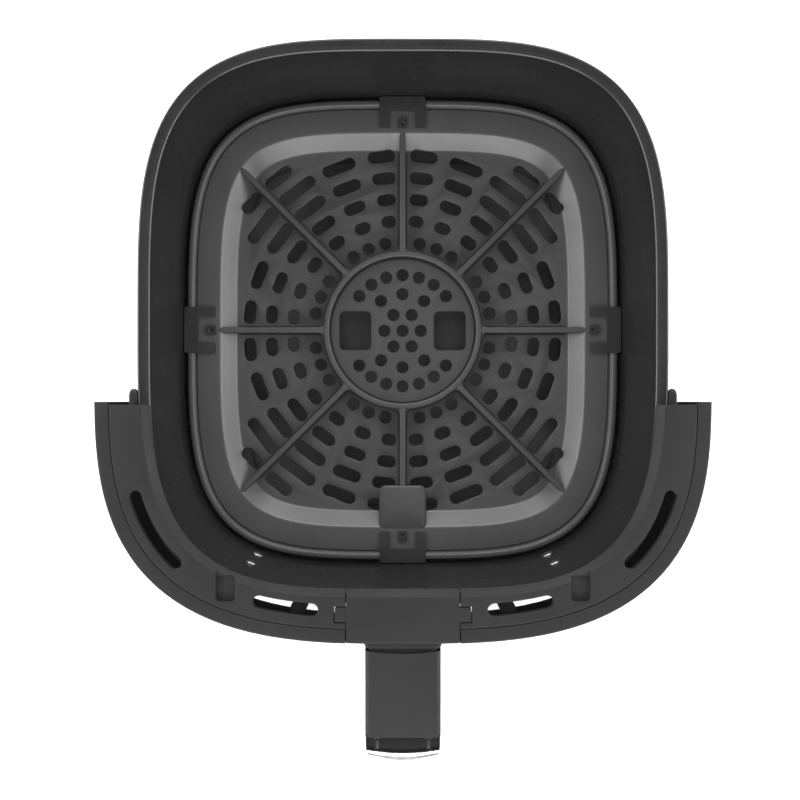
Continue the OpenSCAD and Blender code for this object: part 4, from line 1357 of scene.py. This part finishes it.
@dataclass
class FrontShell:
    """Outer front wall: a lip outside the collar, and a wall that swells out and in again below it."""

    wall: float = 0.0026
    swell: float = 0.00799
    foot: float = 0.006
    extra: float = 0.0015
    apron: float = 0.030
    stations: int = 260

    def bulge(self, z: Array) -> Array:
        """Offset of the wall: a sine of the depth below the top, full at four fifths of the way down."""
        share = (LAYOUT.collar_z - z) / (LAYOUT.collar_z - self.foot) * 1.25
        return self.swell * np.sin(QUARTER * np.minimum(1, share))

    def build(self) -> None:
        """Makes the shell, with its screw tabs and the gap for the bridge."""
        lay = LAYOUT
        top, lip = lay.collar_z, lay.collar_z - 0.004
        z = np.linspace(self.foot, lip, 16)
        inner = np.column_stack([self.bulge(z) - self.wall, z])
        outer = np.column_stack([self.bulge(z), z])[::-1]
        brow = rounded([(-lay.shell_lip, lip, 0), (-lay.shell_lip, top, 0.0007), (0, top, 0.0012),
                        (outer[0, 0], lip, 0)], 5, closed=False)
        (far, low), near = outer[-1], inner[0, 0]
        foot = rounded([(far, low + 0.002, 0), (far, low, 0.0008), (near, low, 0.0008),
                        (near, low + 0.002, 0)], 3, closed=False)
        section = np.vstack([inner[1:], brow, outer[1:-1], foot])
        start = lay.front.at_y(-lay.arm_end + self.extra)
        angles = lay.front.even(start, 3 * math.pi - start, self.stations)
        shell = Shape.tube(along(lay.front, section, angles))
        half, deep = lay.bridge_half + lay.seam, self.apron + lay.seam
        front_y = lay.front.cy - lay.front.b
        gap = Shape.slab(box_loop((0, front_y), (2 * half, 0.024), 0.0006), top - deep, top + 0.003)
        obj = piece("front_shell_moulded", shell, "drawer", "moulding", ["front_shell"],
                    add=[Shape.joined(self.tabs())], cut=[gap])
        # Inward faces below the collar get painted shade, so that the vents look dark.
        repaint(obj.data, INNER_FACES_PAINTED_SHADE, self.inner)

    def inner(self, centre: Array, normal: Array) -> Array:
        """Faces that look inwards, below the collar: these get painted shade."""
        out = centre[:, :2] - np.array([0, LAYOUT.front.cy])
        facing = np.sum(normal[:, :2] * out, axis=1) / np.linalg.norm(out, axis=1)
        return (facing < 0.1) & (centre[:, 2] < LAYOUT.collar_low) & (centre[:, 2] > self.foot + 0.0005)

    def tabs(self) -> list[Shape]:
        """Screw tabs under the collar's posts, each with a web that runs out to the wall."""
        collar, lay, tabs = Collar(), LAYOUT, []
        top = lay.collar_low - collar.boss_height - 0.0001
        for place, run, depth in zip(collar.places(), collar.boss_run, collar.boss_in):
            n = lay.front.normal(lay.front.from_parameter(run))
            reach = depth + float(self.bulge(np.array(top))) - self.wall / 2
            base = Shape.slab(disc(place, collar.boss_radius, 32), top - 0.003, top)
            web = np.array([(0, -0.0012), (reach, -0.0012), (reach, 0.0012), (0, 0.0012)])
            web = place + web[:, :1] * n + web[:, 1:] * np.array([-n[1], n[0]])
            arm = Shape.slab(web, top - 0.014, top - 0.0004)
            tabs += [base, arm, base.mirrored(), arm.mirrored()]
        return tabs


# ---- Handle ----


@dataclass
class Bridge:
    """Middle piece between the collar's halves: tabs, apron, and the root of the handle."""

    slope: float = 0.0042
    tab: tuple[float, float] = (0.0062, 0.0074)
    apron: float = 0.030
    stub: float = 0.0036
    bow: float = 0.0015
    root_fillet: float = 0.0022

    @property
    def tab_y(self) -> float:
        """Middle of the tabs along the drawer."""
        return -LAYOUT.front_reach / 2 - LAYOUT.mouth.b + 0.0015

    @property
    def front_y(self) -> float:
        """Foremost line of the front, from which the handle starts."""
        return LAYOUT.front.cy - LAYOUT.front.b

    def build(self) -> None:
        """Makes the bridge: top with tabs, apron below it, and the bowed stub of the handle."""
        lay, tab = LAYOUT, self.tab
        tabs = [eased_block((s.value * (lay.bridge_half + tab[0] / 2 - 0.001), self.tab_y),
                            (tab[0] + 0.001, tab[1]), (lay.collar_low, lay.collar_z), 0.0007, 0.0004)
                for s in Side]
        piece("handle_bridge_moulded", self.top(), "drawer", "moulding", ["handle_bridge"],
              add=[Shape.joined(tabs), self.front_apron(), self.root(), self.pad()])

    def top(self) -> Shape:
        """Top of the bridge: the collar's section along Y, carried across, ending on the front's outline."""
        lay = LAYOUT
        back = -(lay.mouth.b - 0.001)
        ease = 0.0005
        turn = np.linspace(0, QUARTER, 4)
        x = lay.bridge_half - ease + ease * np.sin(turn)
        x = np.concatenate([-x[::-1], np.linspace(-0.026, 0.026, 15), x])
        d = ease * (1 - np.cos(turn))
        d = np.concatenate([d[::-1], np.zeros(15), d])
        loops = []
        for place, depth in zip(x, d):
            front = float(lay.front.at(lay.front.at_x(place))[1])
            corners = np.array([(back, lay.collar_low, 0.0004), (back, lay.collar_low + 0.001, 0.0005),
                                (back - self.slope, lay.collar_z, 0.0016), (front, lay.collar_z, 0.0012),
                                (front, lay.collar_low, 0.0004)])
            loops.append(rounded(inset(corners, depth), 4))
        return Shape.tube(sections(loops, x, 0))

    def front_apron(self) -> Shape:
        """Apron that closes the shell's gap: a thin wall on the front's outline that leans out a little."""
        lay, t = LAYOUT, FrontShell().wall
        low, top = lay.collar_z - self.apron, lay.collar_z - 0.001
        z = np.linspace(low, top, 8)
        lean = -0.0003 + 0.0013 * (top - z) / (top - low)
        section = np.vstack([np.column_stack([np.full(8, -t), z]), np.column_stack([lean, z])[::-1]])
        start = lay.front.at_x(lay.bridge_half)
        return Shape.tube(along(lay.front, section, lay.front.even(start, 3 * math.pi - start, 24)))

    def root(self) -> Shape:
        """Stub that the handle meets: flared into the bridge by small fillets, its front face bowed out."""
        arm = Handle()
        half, y = arm.half, self.front_y
        loops, places = [], []
        for back, flare in ((0.004, 1.0), (0.0, 1.0), (-0.0004, 0.62), (-0.0008, 0.36), (-0.0014, 0.1),
                            (-self.root_fillet, 0.0), (-self.stub, 0.0)):
            loop = arm.section_loop(half + self.root_fillet * flare * 0.6, 0.0)
            bowed = np.where(back == -self.stub, self.bow * (loop[:, 0] / half) ** 2, 0.0)
            loops.append(loop)
            places.append(y + back + bowed)
        return Shape.tube(sections(loops, places, 1))

    def pad(self) -> Shape:
        """Pad behind the bridge that the bolts clamp."""
        arm = Handle()
        low = arm.top - arm.height
        return Shape.slab(box_loop((0, self.front_y + 0.0034), (0.036, 0.005), 0.0008),
                          low, LAYOUT.collar_z - 0.001)


@dataclass
class Handle:
    """Drop handle: arm and grip in one moulding, recessed end cap, metal trim and back cover."""

    half: float = 0.0192
    arm_length: float = 0.046
    bulge: float = 0.0254
    grip: float = 0.092
    height: float = 0.018
    power: float = 2.5
    cap_in: float = 0.006
    trim: float = 0.0018
    edge: float = 0.0026
    crown: float = 0.0005
    bow: float = 0.0028
    groove: float = 0.0015
    neck: float = 0.0019
    ridge_x: float = 0.013
    ridge_half: float = 0.0009
    seat_angle: float = 78
    cap_angle: float = 86
    grip_end: float = -60
    trim_angles: tuple[float, float] = (72, -74)
    cover_gap: float = 0.00015
    back: float = 0.0034

    @property
    def top(self) -> float:
        """Height of the arm's top."""
        return LAYOUT.collar_z - 0.0015

    @property
    def centre(self) -> tuple[float, float]:
        """Middle of the grip's rounded front, as y and z."""
        return Bridge().front_y - self.arm_length, self.top - 0.45 * self.grip

    def build(self) -> None:
        """Makes the arm, end cap, trim and back cover."""
        self.arm()
        self.end_cap()
        self.metal_trim()
        self.back_cover()

    def section_loop(self, half: float, depth: float) -> Array:
        """Section across the arm: flat-topped, with round long edges, as (x, z) points."""
        size = (2 * (half - depth), self.height - 2 * depth)
        return box_loop((0, self.top - self.height / 2), size, self.edge, 6)

    def front_line(self, start: float, end: float, depth: float, count: int = 40) -> Array:
        """Grip's front from one parameter to another: half a superellipse, taller below than above, moved in.

        Args:
            start: first parameter in degrees, 90 at the top.
            end: last parameter, -90 at the bottom.
            depth: how far the line lies inside the front.
            count: number of points.

        Returns:
            (count, 2) rows of y and z.
        """
        t = np.radians(np.linspace(start, end, count))
        cy, cz = self.centre
        tall = np.where(t >= 0, self.top - cz, self.grip - (self.top - cz))
        c, s, power = np.cos(t), np.sin(t), 2 / self.power
        p = np.stack([self.bulge * signed_power(c, power), tall * signed_power(s, power)], 1)
        n = np.stack([signed_power(c, 2 - power) / self.bulge, signed_power(s, 2 - power) / tall], 1)
        p = p - depth * n / np.linalg.norm(n, axis=1, keepdims=True)
        return np.stack([cy - p[:, 0], cz + p[:, 1]], axis=1)

    def bowed(self, points: Array) -> Array:
        """Points of the grip drawn back towards the sides: the square of x times how far forward they lie."""
        cy = self.centre[0]
        forward = np.clip((cy + 0.004 - points[:, 1]) / 0.02, 0, 1)
        points[:, 1] += self.bow * (points[:, 0] / self.half) ** 2 * forward
        return points

    def arm(self) -> None:
        """Arm and grip: the side profile carried across with round long edges and a slight crown.

        The profile runs along the top, steps down at the end cap's seat, follows the grip's front,
        and comes back up the grip's rear through a wide inner corner.
        """
        cy, cz = self.centre
        root = Bridge().front_y - Bridge().stub - 0.0001
        start = root - self.groove
        seat_y, back_y = cy - 0.0014, cy - self.back
        bottom = cz - (self.grip - (self.top - cz)) + self.cap_in
        front = self.front_line(self.seat_angle, self.grip_end, self.cap_in)
        corners = np.vstack([
            [(start, self.top, 0.0006), (seat_y, self.top, 0.0005), (seat_y, self.top - self.cap_in, 0.0004)],
            np.insert(front, 2, 0.05, axis=1),
            [(back_y - 0.004, bottom, 0.0015), (back_y, bottom + 0.004, 0.002),
             (back_y, self.top - self.height, 0.012), (start, self.top - self.height, 0.0006)]])
        xs, ds = soft_width(self.half, self.edge, self.crown)
        body = across(corners, xs, ds, 4, (1, len(corners) - 1)).at(self.root_bow)
        neck_loop = self.section_loop(self.half, self.neck)
        neck = Shape.tube(sections([neck_loop] * 2, [start - 0.004, root + 0.0001], 1)).at(self.root_bow)
        cover = BackCover()
        depths = [back_y + 0.004, back_y - cover.thickness]
        pocket = Shape.tube(sections([cover.loop(self.cover_gap)] * 2, depths, 1))
        piece("handle_arm_moulded", body, "drawer", "handle_moulding", ["handle_arm"],
              add=[neck], cut=[pocket])

    def root_bow(self, points: Array) -> Array:
        """Points near the root drawn back by the square of x, as the stub's face is."""
        bridge = Bridge()
        near = np.clip((points[:, 1] - (bridge.front_y - bridge.stub - 0.010)) / 0.008, 0, 1)
        points[:, 1] += bridge.bow * (points[:, 0] / self.half) ** 2 * near
        return points

    def end_cap(self) -> None:
        """Recessed end cap between the arm and the trim, with two upright ridges."""
        half = self.half - 0.0007
        seat_y = self.centre[0] - 0.0015
        front = self.front_line(self.cap_angle, self.grip_end, self.trim + 0.0001)
        back = self.front_line(self.seat_angle, self.grip_end, self.cap_in - 0.0001)[::-1]
        corners = np.vstack([
            [(seat_y, self.top - self.cap_in + 0.0001, 0.0003), (seat_y, self.top - 0.0016, 0.0003)],
            np.insert(np.vstack([front, back]), 2, 0.05, axis=1)])[::-1]
        xs, ds = soft_width(half, 0.0009, 0.0)
        ridges, half_r = [], self.ridge_half
        for side in Side:
            line = self.front_line(85, 73.5, self.trim - 0.0004, 12)
            x = side.value * self.ridge_x
            rows = [[(x - half_r, y, z - 0.002), (x + half_r, y, z - 0.002), (x + half_r, y, z - 0.0003),
                     (x + 0.0004, y, z), (x - 0.0004, y, z), (x - half_r, y, z - 0.0003)] for y, z in line]
            ridges.append(Shape.tube(np.array(rows)))
        obj = piece("handle_end_cap_moulded", across(corners, xs, ds).at(self.bowed), "drawer",
                    "handle_moulding", ["handle_end_cap"], add=[Shape.joined(ridges).at(self.bowed)])
        # The cap, apart from its ridges, gets painted shade as a darker, duller copy of the handle plastic;
        # the ridges keep the shinier handle plastic.
        repaint(obj.data, CAP_PAINTED_SHADE,
                lambda centre, _: np.abs(np.abs(centre[:, 0]) - self.ridge_x) > self.ridge_half)

    def metal_trim(self) -> None:
        """Metal trim on the grip's front: a bowed face whose long edges are rounded."""
        half = self.half - 0.0008
        front = self.front_line(*self.trim_angles, 0.0)
        back = self.front_line(*self.trim_angles, self.trim)[::-1]
        corners = np.insert(np.vstack([front, back]), 2, 0.0003, axis=1)[::-1]
        xs, ds = soft_width(half, 0.0008, 0.0, 4)
        shape = across(corners, xs, ds, 2).at(self.bowed)
        piece("handle_trim_chrome", shape, "drawer", "chrome_trim", ["handle_trim"])

    def back_cover(self) -> None:
        """Cover in the grip's back: a plate with rounded corners and an eased rim, flush with the grip."""
        cover, back_y = BackCover(), self.centre[0] - self.back
        ease = 0.0005
        rows = sections([cover.loop(-d) for d in (0.0, 0.0, ease * 0.3, ease)],
                        [back_y - d for d in (cover.thickness, ease, ease * 0.3, 0.0)], 1)
        holes = [lathe(np.array([(0.0019, -0.02), (0.0019, -0.0014), (0.0031, 0.0), (0.0031, 0.004)]),
                       (0, back_y, z), 32, (0, 1, 0)) for z in cover.screws()]
        piece("handle_back_cover_moulded", Shape.tube(rows), "drawer", "handle_moulding",
              ["handle_back_cover"], cut=[Shape.joined(holes)])


@dataclass(frozen=True)
class BackCover:
    """Sizes of the cover in the grip's back."""

    thickness: float = 0.0022
    half: float = 0.01665

    def span(self) -> tuple[float, float]:
        """Lowest and highest z of the cover."""
        low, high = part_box("handle_back_cover")
        return low.z, high.z

    def loop(self, grow: float) -> Array:
        """Outline as (x, z) points, grown by a distance."""
        low, high = self.span()
        return box_loop((0, (low + high) / 2), (2 * self.half + 2 * grow, high - low + 2 * grow), 0.003)

    def screws(self) -> tuple[float, float]:
        """Heights of the two cover screws."""
        low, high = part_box("cover_screws")
        return low.z + 0.0028, high.z - 0.0028


# ---- CAD pieces that keep their shape ----


@dataclass
class Fasteners:
    """Pieces whose CAD shape is right: strap, stiffener, bolts, washers, clips and screws."""

    nodes: dict[str, str] = field(default_factory=lambda: {
        "pot_bracket": "steel", "handle_core": "steel", "trim_clips": "steel", "handle_bolts": "screw_steel",
        "handle_washers": "screw_steel", "carrier_screws": "screw_steel", "collar_screws": "screw_steel",
        "bridge_screws": "screw_steel", "cover_screws": "screw_steel"})

    def build(self) -> None:
        """Dresses each node in its finish."""
        for name, slot in self.nodes.items():
            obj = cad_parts[name]
            obj.data.materials.clear()
            obj.data.materials.append(FINISHES[slot].material())
            LOG.info("%s: dressed as %s", name, slot)


# ---- Studio ----


@dataclass
class Studio:
    """White floor, soft lights all round and above, and a camera looking straight down."""

    lens: float = 50.0
    camera: tuple[float, float, float] = (-0.0015, -0.0403, 0.676)
    band: float = 1.5
    dim: float = 0.14
    floor: float = 6.0

    def build(self) -> None:
        """Makes the floor, the lights and the camera."""
        self.paper()
        self.sky()
        self.lights()
        self.view()

    def paper(self) -> None:
        """White floor, a hair below the drawer."""
        half, z = self.floor / 2, -0.0002
        corners = np.array([(-half, -half, z), (half, -half, z), (half, half, z), (-half, half, z)])
        mesh = bpy.data.meshes.new("floor")
        mesh.from_pydata(corners.tolist(), [], [(0, 1, 2, 3)])
        obj = link("floor", mesh)
        mesh.materials.append(PAPER.material())

    def sky(self) -> None:
        """Surroundings with a bright band half-way up, as from tall softboxes, and dim elsewhere."""
        world = bpy.context.scene.world or bpy.data.worlds.new("studio")
        bpy.context.scene.world = world
        world.use_nodes = True
        tree = world.node_tree
        tree.nodes.clear()
        place = add_node(tree, "ShaderNodeTexCoord", {}).outputs["Generated"]
        height = add_node(tree, "ShaderNodeSeparateXYZ", {0: place}).outputs["Z"]
        rise = spread(tree, height, (0.1, 0.4), (0.0, self.band), "SMOOTHSTEP")
        fade = spread(tree, height, (0.5, 0.85), (1.0, 0.0), "SMOOTHSTEP")
        glow = add_node(tree, "ShaderNodeMath", {0: rise, 1: fade, 2: self.dim},
                        operation="MULTIPLY_ADD")
        sky = add_node(tree, "ShaderNodeBackground",
                       {"Color": (1.0, 1.0, 1.0, 1.0), "Strength": glow.outputs[0]})
        add_node(tree, "ShaderNodeOutputWorld", {"Surface": sky.outputs[0]})
        bpy.context.scene.view_settings.view_transform = "Standard"

    def lights(self) -> None:
        """Softboxes: a weak one above, and four stronger ones round the drawer."""
        centre = Vector((0.0, 0.0, 0.08))
        away, up, wide = 1.45, 0.86, (1.8, 0.6)
        boxes = [("overhead", (0.0, 0.0, 2.0), 3.0, (1.2, 1.2)), ("rear", (0.0, away, up), 26.0, wide),
                 ("front", (0.0, -away, up), 24.0, wide), ("left", (-away, 0.0, up), 24.0, wide),
                 ("right", (away, 0.0, up), 24.0, wide)]
        for name, place, power, size in boxes:
            data = bpy.data.lights.new(name, "AREA")
            data.shape = "RECTANGLE"
            data.size, data.size_y = size
            data.energy = power
            obj = bpy.data.objects.new(name, data)
            bpy.context.scene.collection.objects.link(obj)
            obj.location = place
            obj.rotation_euler = (Vector(place) - centre).to_track_quat("Z", "Y").to_euler()

    def view(self) -> None:
        """Camera straight above, a little in front of the pot's middle."""
        data = bpy.data.cameras.new("camera")
        data.lens = self.lens
        data.sensor_width = 36.0
        obj = bpy.data.objects.new("camera", data)
        bpy.context.scene.collection.objects.link(obj)
        obj.location = self.camera
        bpy.context.scene.camera = obj


def main() -> None:
    """Builds the pieces in order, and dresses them."""
    for part in (Studio(), Pot(), CrisperPlate(), Bumpers(), Collar(), RimCarriers(), FrontShell(), Bridge(),
                 Handle(), Fasteners()):
        LOG.info("building %s", type(part).__name__)
        part.build()


if __name__ == "__main__":
    main()
